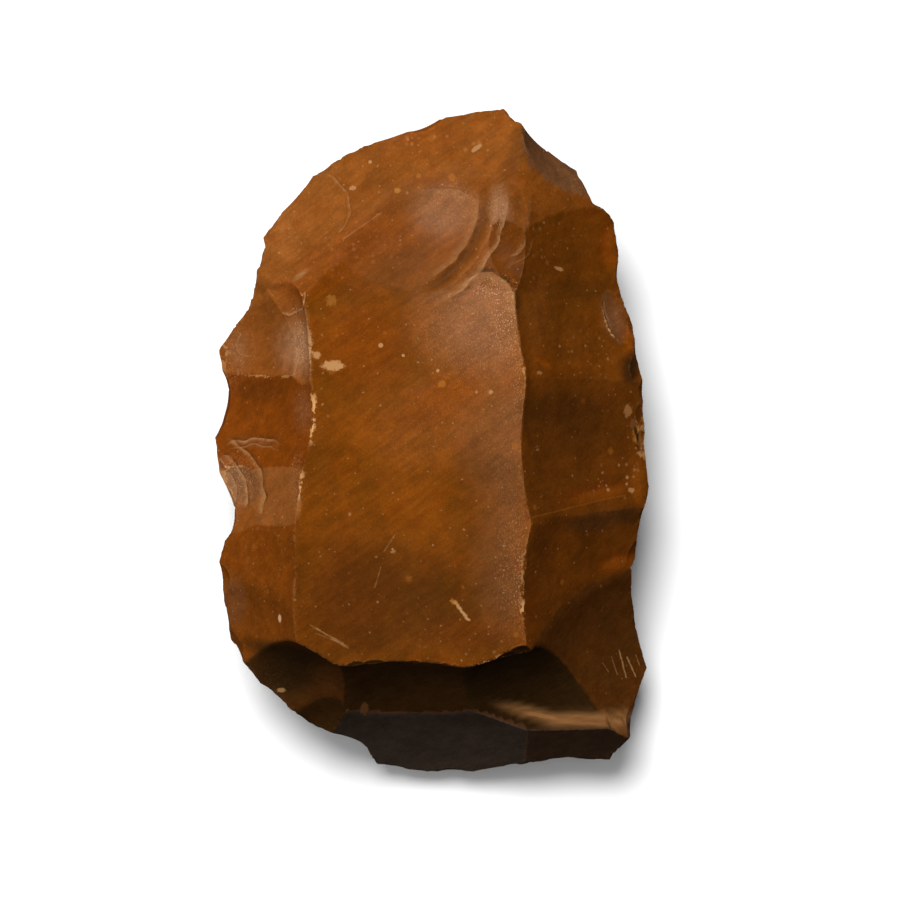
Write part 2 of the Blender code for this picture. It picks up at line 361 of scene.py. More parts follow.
CHIPS = [
    Chip("feather_scar", (240, 474), 4, 185, 4.6, 5.2, 0.50),
    Chip("pale_lip", (306, 350), 5, 185, 1.7, 4.6, 0.22),
    Chip("left_lump", (246, 342), 4, 200, 2.4, 2.6, 0.22),
    Chip("left_lump_low", (240, 362), 3, 180, 2.0, 2.2, 0.20),
    Chip("top_bite", (262, 296), 4, 200, 2.6, 2.0, 0.22),
    Chip("long_step", (270, 548), 2, 190, 3.4, 4.0, 0.25),
    Chip("oval_retouch", (613, 318), 2, 18, 2.0, 3.8, 0.38),
    Chip("dark_nick", (635, 371), 16, 0, 1.8, 3.0, 0.45),
    Chip("rim_bite_high", (640, 414), 12, 0, 1.6, 2.0, 0.35),
    Chip("rim_bite_low", (641, 442), 14, 0, 1.5, 2.4, 0.45),
    Chip("arch_bite", (514, 281), 15, 42, 3.0, 5.0, 0.60),
    Chip("left_high_bite", (297, 316), 6, 190, 1.6, 2.2, 0.22),
]


def lowest(scars, place):
    """The scar that is met first straight above a place."""
    start = np.array([place[0], place[1], 0.1 * THICKNESS])
    return min(scars, key=lambda scar: reach(scar, start, UP[None])[0])


def facing(scar, point):
    """The outward direction of a scar at a point on it."""
    offset = point - scar.point
    return unit(scar.normal - scar.along * (offset @ scar.along) * scar.bend_along
                - scar.across * (offset @ scar.across) * scar.bend_across)


def bite(point, normal, heading, long, wide, deep):
    """A chip of this half length, half width and depth in mm, below a point of the surface."""
    return make_scar(point - normal * deep * MM, normal, heading,
                     long ** 2 / (2 * deep), wide ** 2 / (2 * deep))


def chip_at(square, lean, run, long, wide, deep):
    """A chip on what the upper scars leave at a spot of the pattern."""
    point = plan(square)
    point[2] = height_over(upper, point)
    heading = compass(run)
    normal = unit(facing(lowest(upper, point), point)
                  + heading * math.tan(math.radians(lean)))
    return bite(point, normal, heading, long, wide, deep)


chips = [chip_at(*chip[1:]) for chip in CHIPS]
print(len(chips), "named chips")

# %% Chips all round the rim, from a seeded loop
SEED = 7
RIM_STEP = (0.8, 2.4)       # least and most between two chips, in mm
RIM_DEEP = (0.05, 0.30)     # how deep they bite, in mm
RIM_WIDE = (1.6, 3.6)       # half their width for a depth of a millimetre, in mm
RIM_TURN = (0.15, 0.70)     # how far they turn from the upper scar towards the edge scar
chance = np.random.default_rng(SEED)


def rim_chips():
    """Chips of mixed size along the rim."""
    found = []
    for start, end, below in zip(corners, corners[1:] + corners[:1], edge):
        length = np.linalg.norm(end - start)
        along = chance.uniform(*RIM_STEP) / 2 * MM
        while along < length:
            point = start + (end - start) * along / length
            point[2] = height_over(upper, point)
            over = facing(lowest(upper, point), point)
            turn = chance.uniform(*RIM_TURN)
            sideways = unit(end - start) * chance.normal(0, 0.18)
            normal = unit(over * (1 - turn) + below.normal * turn + sideways)
            deep = chance.uniform(*RIM_DEEP)
            wide = chance.uniform(*RIM_WIDE) * deep ** 0.5
            found.append(bite(point, normal, np.cross(normal, end - start),
                              wide * chance.uniform(0.8, 1.4), wide, deep))
            along += chance.uniform(*RIM_STEP) * MM
    return found


chips += rim_chips()
print(len(chips), "chips with those on the rim")

# %% [markdown]
# ## Worn ridges
#
# The long ridges are nibbled too, and for that the script has to know where they run. Working
# out where two bowls meet is hard, and asking is easy: a fine map says which scar lies over each
# spot of the pattern, and wherever the answer changes from one square to the next there is a
# ridge. Then a loop drops small chips along the ridges that are worn on the real core.

# %% Where two upper scars share a ridge
MAP_STEP = 2.0              # squares of the pattern between two places of the map


def upper_map():
    """The number of the upper scar over each place of a fine grid."""
    across = np.arange(GRID_LEFT, GRID_RIGHT, MAP_STEP)
    down = np.arange(GRID_TOP, GRID_BOTTOM, MAP_STEP)
    starts = np.array([plan((x, y)) for y in down for x in across]) + HEART * 0.25
    heights = np.full(len(starts), np.inf)
    numbers = np.zeros(len(starts), int)
    for number, scar in enumerate(upper):
        offset = starts - scar.point
        along, across_it = offset @ scar.along, offset @ scar.across
        a = -(scar.bend_along * scar.along[2] ** 2 + scar.bend_across * scar.across[2] ** 2) / 2
        b = (scar.normal[2] - scar.bend_along * along * scar.along[2]
             - scar.bend_across * across_it * scar.across[2])
        c = (offset @ scar.normal
             - (scar.bend_along * along ** 2 + scar.bend_across * across_it ** 2) / 2)
        inside = b * b - 4 * a * c
        root = b + np.sqrt(np.maximum(inside, 0.0))
        height = np.where((inside > 0) & (root > 1e-9), -2 * c / np.maximum(root, 1e-9), np.inf)
        numbers = np.where(height < heights, number, numbers)
        heights = np.minimum(height, heights)
    return across, down, numbers.reshape(len(down), len(across))


MAP_ACROSS, MAP_DOWN, MAP_NUMBERS = upper_map()


def shared_ridge(first, second):
    """Spots of the pattern on the ridge between two upper scars."""
    pair = {UPPER_NAMES.index(first), UPPER_NAMES.index(second)}
    spots = []
    for row in range(len(MAP_DOWN) - 1):
        for column in range(len(MAP_ACROSS) - 1):
            here = MAP_NUMBERS[row, column]
            for down, right in ((0, 1), (1, 0)):
                if {here, MAP_NUMBERS[row + down, column + right]} == pair:
                    spots.append((MAP_ACROSS[column] + right * MAP_STEP / 2,
                                  MAP_DOWN[row] + down * MAP_STEP / 2))
    return spots


print("The panel and the long right scar share", len(shared_ridge("main_panel", "right_long")),
      "map squares")

# %% Nibbled ridges
# The two scars, how many chips there are, and the deepest of them in mm
NIBBLED = [
    ("main_panel", "left_mid", 16, 0.16), ("main_panel", "left_small", 12, 0.18),
    ("main_panel", "left_pale", 7, 0.10), ("main_panel", "left_long", 10, 0.12),
    ("main_panel", "right_mid", 8, 0.14), ("main_panel", "right_long", 8, 0.08),
    ("main_panel", "right_low", 14, 0.14), ("main_panel", "butt_mid", 10, 0.12),
    ("main_panel", "butt_right", 6, 0.10), ("main_panel", "left_foot", 3, 0.12),
    ("upper_band", "right_upper", 5, 0.08), ("right_mid", "right_upper", 3, 0.06),
    ("butt_left", "butt_mid", 4, 0.15), ("butt_mid", "butt_low", 5, 0.08),
]


def ridge_chips():
    """Small chips scattered along the ridges that are worn."""
    found = []
    for first, second, count, deepest in NIBBLED:
        spots = shared_ridge(first, second)
        steep = upper[UPPER_NAMES.index(second)]
        for _ in range(count):
            square = spots[chance.integers(len(spots))]
            point = plan(square)
            point[2] = height_over(upper, point)
            flat = facing(upper[UPPER_NAMES.index(first)], point)
            turn = chance.uniform(0.25, 0.75)
            normal = unit(flat * (1 - turn) + facing(steep, point) * turn)
            deep = chance.uniform(0.25, 1.0) * deepest
            wide = chance.uniform(1.6, 4.0) * deep ** 0.5
            found.append(bite(point, normal, steep.normal, wide * 0.8, wide, deep))
    return found


chips += ridge_chips()
print(len(chips), "chips in all")


# %% [markdown]
# ## All the scars together
#
# What is left of a stone is what no blow has taken. Along each ray from the heart that is the
# nearest scar, so one minimum over all of them gives the whole surface. Two things need more care.
# The rim turns inward between two bites, where the farther scar counts, and some ridges are worn
# round, so near those the two bowls are blended.

# %% The edge scars round the rim
def corner_fans():
    """The compass angles of the rim's corners in rising order, and which corners turn inward."""
    turns = np.array([math.atan2(corner[1], corner[0]) for corner in corners])
    first = int(turns.argmin())
    inward = np.array([turns_inward(*three) for three
                       in zip(corners[-1:] + corners[:-1], corners, corners[1:] + corners[:1])])
    return np.roll(turns, -first), first, inward


fan_turns, fan_first, inward = corner_fans()


def edge_reach(rays):
    """The reach to the edge scars. Two of them meet at each corner of the rim: an outward
    corner keeps what both leave, an inward one what either leaves."""
    count = len(edge)
    turn = np.arctan2(rays[:, 1], rays[:, 0])
    place = np.searchsorted(fan_turns, turn, side="right") - 1
    ends = np.append(fan_turns, fan_turns[0] + 2 * math.pi)
    starts = np.where(place < 0, fan_turns[-1] - 2 * math.pi, fan_turns[place])
    past = turn > (starts + ends[np.maximum(place, -1) + 1]) / 2
    own = (place + fan_first) % count
    other = (own + np.where(past, 1, -1)) % count
    corner = np.where(past, (own + 1) % count, own)
    reaches = np.stack([reach(scar, HEART, rays) for scar in edge])
    rows = np.arange(len(rays))
    mine, theirs = reaches[own, rows], reaches[other, rows]
    distance = np.where(inward[corner], np.maximum(mine, theirs), np.minimum(mine, theirs))
    return distance, np.where(distance == mine, own, other)


print(int(inward.sum()), "corners of the rim turn inward")

# %% Ridges that are worn round
# The two upper scars, and over how many mm their ridge is rounded
SOFT = [
    ("upper_band", "right_upper", 2.0), ("upper_band", "ripple_scar", 1.4),
    ("upper_band", "hinge_outer", 1.4), ("right_upper", "right_mid", 2.4),
    ("right_mid", "right_long", 1.8), ("right_long", "right_low", 0.4),
    ("right_low", "right_corner", 1.2), ("upper_band", "left_top", 0.7),
    ("left_top", "left_upper", 1.6), ("left_upper", "left_pale", 0.5),
    ("left_mid", "left_small", 1.4), ("left_small", "left_long", 1.2),
    ("left_long", "left_foot", 1.2), ("left_small", "left_notch", 1.4),
    ("left_long", "left_notch", 1.4), ("hinge_outer", "main_panel", 0.8),
    ("ripple_scar", "hinge_outer", 0.8), ("ripple_scar", "main_panel", 0.8),
    ("hinge_outer", "right_upper", 1.2), ("butt_left", "butt_mid", 1.6),
    ("butt_right", "right_corner", 1.6), ("butt_chip", "butt_left", 1.2),
    ("butt_chip", "butt_mid", 1.2), ("butt_mid", "butt_right", 1.2),
    ("butt_mid", "butt_low", 0.4), ("butt_left", "left_foot", 0.5),
    ("ripple_scar", "right_upper", 1.2), ("grey_facet", "right_upper", 0.5),
]
soft_pairs = [(UPPER_NAMES.index(first), UPPER_NAMES.index(second), round_over)
              for first, second, round_over in SOFT]
soft = {frozenset(pair[:2]) for pair in soft_pairs}
print(len(soft), "rounded ridges")

# %% The nearest scar along a ray
broad = upper + under
FIRST_EDGE = len(broad)
FIRST_CHIP = FIRST_EDGE + len(edge)
CHIP_VIEW = math.cos(math.radians(14))      # a chip is looked for only this near its own ray


def surface(rays):
    """The reach along each ray, and the number of the scar met there. Where two scars of a
    soft pair are nearly as far, a little more than the nearer one's reach is taken off."""
    reaches = np.stack([reach(scar, HEART, rays) for scar in broad])
    reaches = np.minimum(reaches, LENGTH)       # so that no difference of two is endless
    number, distance = reaches.argmin(0), reaches.min(0)
    for first, second, round_over in soft_pairs:
        a, b = reaches[first], reaches[second]
        close = np.clip(1 - np.abs(a - b) / (round_over * MM), 0.0, 1.0)
        rounded = np.minimum(a, b) - close ** 2 * round_over * MM / 4
        number = np.where(rounded < distance, np.where(a < b, first, second), number)
        distance = np.minimum(rounded, distance)
    edge_distance, edge_number = edge_reach(rays)
    number = np.where(edge_distance < distance, FIRST_EDGE + edge_number, number)
    distance = np.minimum(distance, edge_distance)
    for offset, chip in enumerate(chips):
        near = np.flatnonzero(rays @ unit(chip.point - HEART) > CHIP_VIEW)
        cut = reach(chip, HEART, rays[near])
        deeper = cut < distance[near]
        distance[near[deeper]] = cut[deeper]
        number[near[deeper]] = FIRST_CHIP + offset
    return distance, number


print(FIRST_CHIP + len(chips), "scars in all, with the chips")

# %% [markdown]
# ## Corners onto ridges
#
# A grid laid over a ridge would cut it into steps like a bad staircase. Instead, wherever two
# neighbouring rays meet different scars, the search halves the gap between them until it finds
# the ridge, and the nearer ray is turned onto it. The grid stays whole, and its own edges then
# run along every ridge. The rim's corners get a ray each first.

# %% Turning rays onto the rim and the ridges
HALVINGS = 14               # steps in the search for a ridge between two rays
RIDGE_PASSES = 2


def onto_rim(rays):
    """Turns the nearest ray to each corner of the rim exactly onto that corner."""
    taken = set()
    for corner in corners:
        towards = unit(corner - HEART)
        for nearest in np.argsort(-(rays @ towards))[:4]:
            if nearest not in taken:
                taken.add(int(nearest))
                rays[nearest] = towards
                break
    return taken


def onto_ridges(rays, keep, rounded):
    """Turns rays beside a ridge onto it, and notes which of them are on a rounded one."""
    pairs = np.concatenate([squares[:, [k, (k + 1) % 4]] for k in range(4)])
    pairs = np.unique(np.sort(pairs, axis=1), axis=0)
    number = surface(rays)[1]
    pairs = pairs[number[pairs[:, 0]] != number[pairs[:, 1]]]
    near, far = np.zeros(len(pairs)), np.ones(len(pairs))
    start, end = rays[pairs[:, 0]], rays[pairs[:, 1]]
    for _ in range(HALVINGS):
        middle = (near + far) / 2
        blend = start + (end - start) * middle[:, None]
        blend /= np.linalg.norm(blend, axis=1, keepdims=True)
        before = surface(blend)[1] == number[pairs[:, 0]]
        near, far = np.where(before, middle, near), np.where(before, far, middle)
    moved = {}
    for (a, b), share, from_a, from_b in zip(pairs, near, start, end):
        nearest, gap = (a, share) if share < 0.5 else (b, 1 - share)
        if nearest not in keep and gap < moved.get(nearest, 1.0):
            moved[nearest] = gap
            if frozenset((number[a], number[b])) in soft:
                rounded.add(nearest)
            rays[nearest] = unit(from_a + (from_b - from_a) * share)
    return keep | set(moved)


on_ridge = onto_rim(directions)
rounded_over = set()
for _ in range(RIDGE_PASSES):
    on_ridge = onto_ridges(directions, on_ridge, rounded_over)
lengths, scar_number = surface(directions)
points = HEART + directions * lengths[:, None]
print(len(on_ridge), "corners lie on ridges; the top is at", round(points[:, 2].max() * 1000, 2))

# %% [markdown]
# ## How near is a ridge?
#
# Ridges are where a stone wears, so the material will ask for the distance to the nearest one.
# The shader can't see the mesh around it. The distance is measured here, once, and stored on
# each corner of the mesh. A k-d tree makes that quick.

# %% Distance to the nearest ridge, in mm
crisp = sorted(on_ridge - rounded_over)
ridge_tree = kdtree.KDTree(len(crisp))
for corner in crisp:
    ridge_tree.insert(points[corner], int(corner))
ridge_tree.balance()
ridge_gap = np.array([ridge_tree.find(point)[2] for point in points]) / MM
print("The middle of the widest scar is", round(ridge_gap.max(), 1), "mm from a ridge")

# %% [markdown]
# ## Ripples and swells
#
# Inside a scar the stone is never a perfect bowl. The shock leaves ripples round the spot where
# it started, like a pebble dropped in water, and the strongest of them ends in a small step, a
# hinge. Over the whole surface there is also a faint swell. Both are only tenths of a
# millimetre, so they are added along the rays, and they fade out towards each ridge to keep it
# sharp.

# %% A faint swell over the whole stone
SWELLS = [(14, 11.0, 0.030), (16, 4.0, 0.0035), (18, 1.8, 0.0012)]  # how many, wavelength, depth


def swell(places):
    """A sum of slow waves in all directions, in mm."""
    total = np.zeros(len(places))
    for count, wavelength, depth in SWELLS:
        for _ in range(count):
            heading = unit(chance.normal(size=3))
            size = chance.uniform(0.7, 1.4) * wavelength
            phase = chance.uniform(0, 2 * math.pi)
            total += depth * np.sin(places @ heading / MM * 2 * math.pi / size + phase)
    return total


def step(value, start, end):
    """Rises smoothly from 0 at the start to 1 at the end."""
    share = np.clip((value - start) / (end - start), 0.0, 1.0)
    return share * share * (3 - 2 * share)


relief = swell(points)
print("The swell is", round(relief.std(), 3), "mm deep on average")

# %% Rings round the spots where the shocks started
# The scars that a set of rings runs through, their eye, the compass angles between which they
# show, and of each ring the radius, its width inwards and outwards and its height in mm
Rings = namedtuple("Rings", "scars eye first last table")


def even_rings(first, last, spacing, height):
    """Rings at an even spacing that swap between crest and trough."""
    return [(radius, spacing * 0.55, spacing * 0.4, height * (-1) ** number)
            for number, radius in enumerate(np.arange(first, last, spacing))]


RINGS = [
    Rings(("ripple_scar", "hinge_outer", "right_upper"), (384, 197), -66, -2,
          [(15.8, 1.6, 0.4, 0.14), (17.0, 0.5, 1.0, -0.44), (20.6, 1.6, 0.35, 0.24),
           (22.0, 0.5, 0.8, -0.20), (24.4, 1.0, 0.3, 0.20)]),
    Rings(("ripple_scar",), (384, 197), -100, -20,
          [(9.0, 1.2, 1.2, 0.04), (11.2, 1.0, 1.0, -0.04)]),
    Rings(("feather_scar",), (212, 492), -40, 84, even_rings(3.2, 12.5, 1.25, 0.16)),
    Rings(("pale_lip", "left_pale"), (236, 348), -60, 60, even_rings(8.6, 13.0, 1.1, 0.08)),
    Rings(("left_pale", "left_lump", "left_lump_low"), (222, 352), -60, 60,
          even_rings(2.0, 8.0, 1.9, 0.10)),
    Rings(("left_upper",), (240, 300), -60, 60, even_rings(3.0, 9.0, 1.9, 0.06)),
    Rings(("left_mid",), (222, 400), -60, 60, even_rings(6.0, 14.0, 2.6, 0.05)),
    Rings(("left_long",), (222, 560), -70, 70, even_rings(5.0, 13.0, 2.2, 0.06)),
    Rings(("left_foot",), (224, 600), -60, 80, even_rings(3.0, 9.0, 1.8, 0.06)),
    Rings(("left_top",), (268, 225), -80, 70, even_rings(5.0, 16.0, 2.7, 0.04)),
    Rings(("right_upper",), (625, 240), 90, 270, even_rings(5.0, 16.0, 3.0, 0.04)),
    Rings(("right_mid",), (640, 340), 90, 270, even_rings(5.0, 21.0, 3.2, 0.06)),
    Rings(("right_long",), (650, 450), 90, 270, even_rings(6.0, 21.0, 3.4, 0.06)),
    Rings(("right_low",), (640, 545), 90, 270, even_rings(5.0, 20.0, 3.1, 0.06)),
    Rings(("right_corner",), (648, 650), 60, 270, even_rings(4.0, 16.0, 2.6, 0.06)),
    Rings(("main_panel",), (760, 905), 0, 360, even_rings(42.0, 110.0, 2.3, 0.010)),
    Rings(("butt_low", "butt_low_right"), (470, 800), 0, 180, even_rings(4.0, 24.0, 2.8, 0.05)),
    Rings(("butt_mid",), (400, 700), 0, 180, even_rings(3.0, 14.0, 2.4, 0.07)),
]


def ring_height(places, rings):
    """The height of a set of rings over each place, in mm."""
    offset = (places - plan(rings.eye)) / MM
    radius = np.hypot(offset[:, 0], offset[:, 1])
    middle, half = (rings.first + rings.last) / 2, (rings.last - rings.first) / 2
    angle = np.degrees(np.arctan2(offset[:, 1], offset[:, 0]))
    apart = np.abs((angle - middle + 180) % 360 - 180)
    shown = 1 - step(apart, half - 8, half + 8) if half < 180 else 1.0
    return shown * sum(height * np.exp(-((radius - at) / np.where(radius < at, inward, out)) ** 2)
                       for at, inward, out, height in rings.table)


number_of = {name: number for number, name in enumerate(UPPER_NAMES)}
number_of.update({chip.name: FIRST_CHIP + number for number, chip in enumerate(CHIPS)})


def in_scars(names):
    """Whether each corner of the mesh lies in one of the named upper scars or chips."""
    return np.isin(scar_number, [number_of[name] for name in names])


RELIEF_FADE = 1.3           # mm from a ridge within which the relief fades out
ringed = sum(np.where(in_scars(rings.scars), ring_height(points, rings), 0.0) for rings in RINGS)
relief += ringed
relief *= step(ridge_gap, 0.0, RELIEF_FADE)
relief[scar_number == FIRST_EDGE - 1] = 0.0
points += directions * (relief * MM)[:, None]
print("The relief runs from", round(relief.min(), 2), "to", round(relief.max(), 2), "mm")

# %% [markdown]
# ## The mesh
#
# Each square is cut along the diagonal that follows the stone more closely. The bowls are
# shaded smooth and the ridges sharp: a ridge is a real corner, and smoothing its shading over
# would make the flint look like melted toffee.

# %% Building the stone
SHARP_TURN = 9.0            # degrees between two faces above which a ridge stays sharp


def split_squares():
    """Two triangles from each square, cut along its shorter diagonal."""
    first = np.linalg.norm(points[squares[:, 0]] - points[squares[:, 2]], axis=1)
    second = np.linalg.norm(points[squares[:, 1]] - points[squares[:, 3]], axis=1)
    turned = np.where((first <= second)[:, None], squares, np.roll(squares, -1, axis=1))
    return np.concatenate([turned[:, [0, 1, 2]], turned[:, [2, 3, 0]]])


triangles = split_squares()
mesh = bpy.data.meshes.new("flint_stone")
mesh.from_pydata(points.tolist(), [], triangles.tolist())
mesh.update()
print(len(mesh.vertices), "corners and", len(mesh.polygons), "triangles")


# %% Sharp ridges
def mark_ridges():
    """Marks the mesh's edges between two scars as sharp where the faces turn enough."""
    centres = points[triangles].mean(1) - HEART
    owner = surface(centres / np.linalg.norm(centres, axis=1, keepdims=True))[1]
    normals = np.array([face.normal for face in mesh.polygons])
    beside = {}
    for number, face in enumerate(mesh.polygons):
        for key in face.edge_keys:
            beside.setdefault(key, []).append(number)
    limit = math.cos(math.radians(SHARP_TURN))
    sharp = 0
    for line in mesh.edges:
        a, b = beside[line.key]
        ridge = owner[a] != owner[b] and frozenset((owner[a], owner[b])) not in soft
        line.use_edge_sharp = bool(ridge and normals[a] @ normals[b] < limit)
        sharp += line.use_edge_sharp
    return sharp


mesh.shade_smooth()
print(mark_ridges(), "sharp edges")
stone = bpy.data.objects.new("flint_stone", mesh)
bpy.context.scene.collection.objects.link(stone)

# %% [markdown]
# ## What the mesh tells the material
#
# Some things belong to a place and not to the stone as a whole: the tan crust on the ledge at
# the butt, the pale bloom and painted sheen over the left scars, the painted shade that makes the
# butt nearly black, the worn places. They are dabbed on the corners by code, as plain numbers
# from 0 to 1, and the material mixes its colours by them. A dab is an ellipse on the pattern with
# soft edges, as from a wide brush.

# %% Dabs of a soft brush
# The middle on the pattern, half the width and height, a turn in degrees, how strong it is, the
# scars that it must stay in, if any, and what share of it is its soft edge
Dab = namedtuple("Dab", "at half turn amount within softness", defaults=((), 0.7))

squares_x = (points[:, 0] / WIDTH + 0.5) * (GRID_RIGHT - GRID_LEFT) + GRID_LEFT
squares_y = (0.5 - points[:, 1] / LENGTH) * (GRID_BOTTOM - GRID_TOP) + GRID_TOP
UNDERSIDE = range(len(upper), FIRST_EDGE)
upper_side = ~np.isin(scar_number, UNDERSIDE) & (points[:, 2] > 0.1 * THICKNESS)


def dabbed(dabs):
    """How much of these dabs each corner gets."""
    total = np.zeros(len(points))
    for dab in dabs:
        turn = math.radians(dab.turn)
        across, down = squares_x - dab.at[0], squares_y - dab.at[1]
        u = (across * math.cos(turn) - down * math.sin(turn)) / dab.half[0]
        v = (across * math.sin(turn) + down * math.cos(turn)) / dab.half[1]
        cover = 1 - step(np.hypot(u, v), 1 - dab.softness, 1.0)
        if dab.within:
            cover = cover * in_scars(dab.within)
        total = total + (1 - total) * cover * dab.amount
    return total * upper_side


def store(name, values):
    """Keeps a number for each corner under a name that the material can ask for."""
    layer = mesh.attributes.new(name, "FLOAT", "POINT")
    layer.data.foreach_set("value", np.asarray(values, np.float32))
    print(f"{name}: {values.min():.2f} to {values.max():.2f}")


def per_scar(table):
    """A number for every corner, looked up by the name of the upper scar it lies in."""
    values = np.zeros(FIRST_CHIP + len(chips))
    for name, value in table.items():
        values[number_of[name]] = value
    return values[scar_number]


OWN_TONE = ("feather_scar", "pale_lip", "oval_retouch", "arch_bite")


def nearest_upper():
    """The upper scar that each corner would lie in if nothing else had cut the stone."""
    rays = points - HEART
    rays /= np.linalg.norm(rays, axis=1, keepdims=True)
    return np.stack([reach(scar, HEART, rays) for scar in upper]).argmin(0)


small_scars = upper_side & (scar_number >= FIRST_EDGE) & ~in_scars(OWN_TONE)
scar_number = np.where(small_scars, nearest_upper(), scar_number)
store("ridge_gap", np.minimum(ridge_gap, 4.0))
store("upper_side", upper_side.astype(float))

# %% [markdown]
# ## The tone of each scar
#
# The bowls and the lamps give each scar most of its light and dark, but not all of it. So a table
# gives each scar its share of five tones, tried again and again until the stone looked right from
# above. That can't tell stone from shade, so part of the table is painted light and shade. The
# soft lamps alone left the butt and the right side too light, so their dark and slaty shares are
# painted shade, which will look too deep in other light. The pale shares are partly the stone's
# own paler colour and partly painted light, and the grey share of the steep grey facet is a
# painted reflection. A material for each scar would do the same, with all the shared work done
# many times over.

# %% A row of tones for each scar
# How pale (partly painted light), how rusty, how far under a grey bloom (on the grey facet a
# painted reflection), how dark (mostly painted shade) and how slaty (painted shade)
TONES = {
    "upper_band": (0.38, 0.00, 0.00, 0.00, 0.00), "ripple_scar": (0.30, 0.20, 0.03, 0.05, 0.00),
    "hinge_outer": (0.25, 0.20, 0.00, 0.15, 0.00), "right_upper": (0.46, 0.24, 0.00, 0.00, 0.00),
    "grey_facet": (0.00, 0.00, 0.45, 0.25, 0.00), "right_mid": (0.00, 0.00, 0.00, 0.22, 0.00),
    "right_long": (0.00, 0.20, 0.00, 0.40, 0.00), "right_low": (0.00, 0.20, 0.00, 0.36, 0.00),
    "right_corner": (0.00, 0.00, 0.04, 0.58, 0.00), "left_top": (0.50, 0.00, 0.05, 0.00, 0.00),
    "left_upper": (0.64, 0.10, 0.03, 0.03, 0.00), "left_pale": (0.38, 0.20, 0.05, 0.00, 0.00),
    "left_mid": (0.20, 0.70, 0.00, 0.12, 0.00), "left_small": (0.46, 0.10, 0.12, 0.02, 0.00),
    "left_long": (0.20, 0.50, 0.00, 0.14, 0.00), "left_notch": (0.45, 0.20, 0.05, 0.05, 0.00),
    "left_foot": (0.25, 0.40, 0.00, 0.22, 0.00), "butt_left": (0.00, 0.00, 0.10, 0.68, 0.00),
    "butt_mid": (0.00, 0.00, 0.00, 0.94, 0.00), "butt_right": (0.00, 0.20, 0.00, 0.98, 0.00),
    "butt_low": (0.00, 0.00, 0.00, 0.00, 1.00), "butt_low_right": (0.00, 0.00, 0.00, 0.90, 0.45),
    "butt_chip": (0.00, 0.00, 0.06, 0.92, 0.00), "feather_scar": (0.24, 0.00, 0.26, 0.20, 0.00),
    "pale_lip": (0.38, 0.20, 0.05, 0.00, 0.00), "oval_retouch": (0.05, 0.00, 0.22, 0.30, 0.00),
    "arch_bite": (0.00, 0.30, 0.00, 0.30, 0.00),
}


def tone(column):
    """One column of the table of tones, for every corner."""
    return per_scar({name: row[column] for name, row in TONES.items()})


def layered(base, extra):
    """A second layer of paint over the first."""
    return 1 - (1 - base) * (1 - extra)


# The slaty tone is painted shade, deepest on the lowest face of the butt.
store("slate_and_shade", tone(4))

# %% [markdown]
# ## Paler, rustier and darker places
#
# Inside a scar the look still changes: some places are paler, rustier or darker, and some edges
# glow orange. Part of that is the stone and part is painted light and shade: some pale dabs are a
# painted sheen, many dark dabs are painted shade, and the orange glow on thin edges is painted
# light. Noise alone would put these places anywhere, so they are dabbed where they are seen from
# above.

# %% Paler places, and a painted sheen
PANEL = ("main_panel",)
LOBE = ("ripple_scar", "hinge_outer")
FEATHERS = ("feather_scar",)
# Partly paler stone and partly painted sheen: the dabs on the panel, the lobe and the pale lip.
PALE_AND_SHEEN_DABS = [
    Dab((340, 205), (60, 40), 30, 0.10), Dab((535, 315), (24, 44), 0, 0.32),
    Dab((492, 325), (96, 86), 0, 0.46, PANEL),
    Dab((285, 240), (18, 34), 0, 0.7), Dab((445, 215), (56, 40), 0, 0.45, LOBE),
    Dab((522, 420), (50, 90), 0, 0.06, PANEL), Dab((500, 215), (20, 40), 0, 0.50, LOBE),
    Dab((250, 345), (24, 26), 0, 0.4), Dab((420, 420), (90, 70), 0, 0.15, PANEL),
    Dab((520, 600), (50, 60), 0, 0.06, PANEL), Dab((484, 302), (32, 30), 0, 0.45, LOBE, 0.2),
    Dab((303, 345), (16, 40), 0, 0.30, ("left_pale", "pale_lip")),
]
store("pale", layered(tone(0), dabbed(PALE_AND_SHEEN_DABS)))

# %% Rusty places, and thin edges with a painted glow
RUST_DABS = [
    Dab((608, 245), (16, 34), 0, 0.9), Dab((625, 335), (10, 18), 0, 0.7),
    Dab((618, 560), (30, 14), 10, 1.0), Dab((592, 491), (56, 12), 10, 0.9, ("right_long",)),
    Dab((541, 364), (16, 5), -30, 0.7), Dab((634, 690), (12, 24), 0, 0.6),
    Dab((355, 590), (60, 70), 0, 0.4), Dab((470, 630), (60, 24), 0, 0.5),
    Dab((430, 140), (60, 20), 0, 0.3), Dab((300, 290), (26, 16), 0, 0.4),
    Dab((528, 600), (14, 60), 0, 0.5), Dab((365, 350), (60, 60), 0, 0.5),
    Dab((330, 270), (60, 40), 30, 0.5), Dab((440, 400), (70, 26), 25, 0.4),
    Dab((380, 240), (50, 34), 0, 0.4),
]
# Painted light: an orange glow where light would shine through the thin edges.
PAINTED_GLOW_DABS = [
    Dab((612, 250), (14, 34), 0, 0.30), Dab((620, 562), (28, 10), 14, 0.50),
    Dab((598, 494), (46, 8), 12, 0.34, ("right_long",)), Dab((628, 340), (8, 20), 0, 0.30),
    Dab((636, 480), (12, 30), 0, 0.35), Dab((541, 364), (14, 4), -30, 0.25),
    Dab((536, 385), (14, 20), 0, 0.15), Dab((614, 210), (10, 10), 0, 0.20),
    Dab((540, 300), (26, 18), 0, 0.12), Dab((570, 235), (50, 24), 0, 0.08),
    Dab((345, 440), (40, 60), 0, 0.06, PANEL),
]
store("rust", layered(tone(1), dabbed(RUST_DABS)))
store("painted_glow", dabbed(PAINTED_GLOW_DABS))
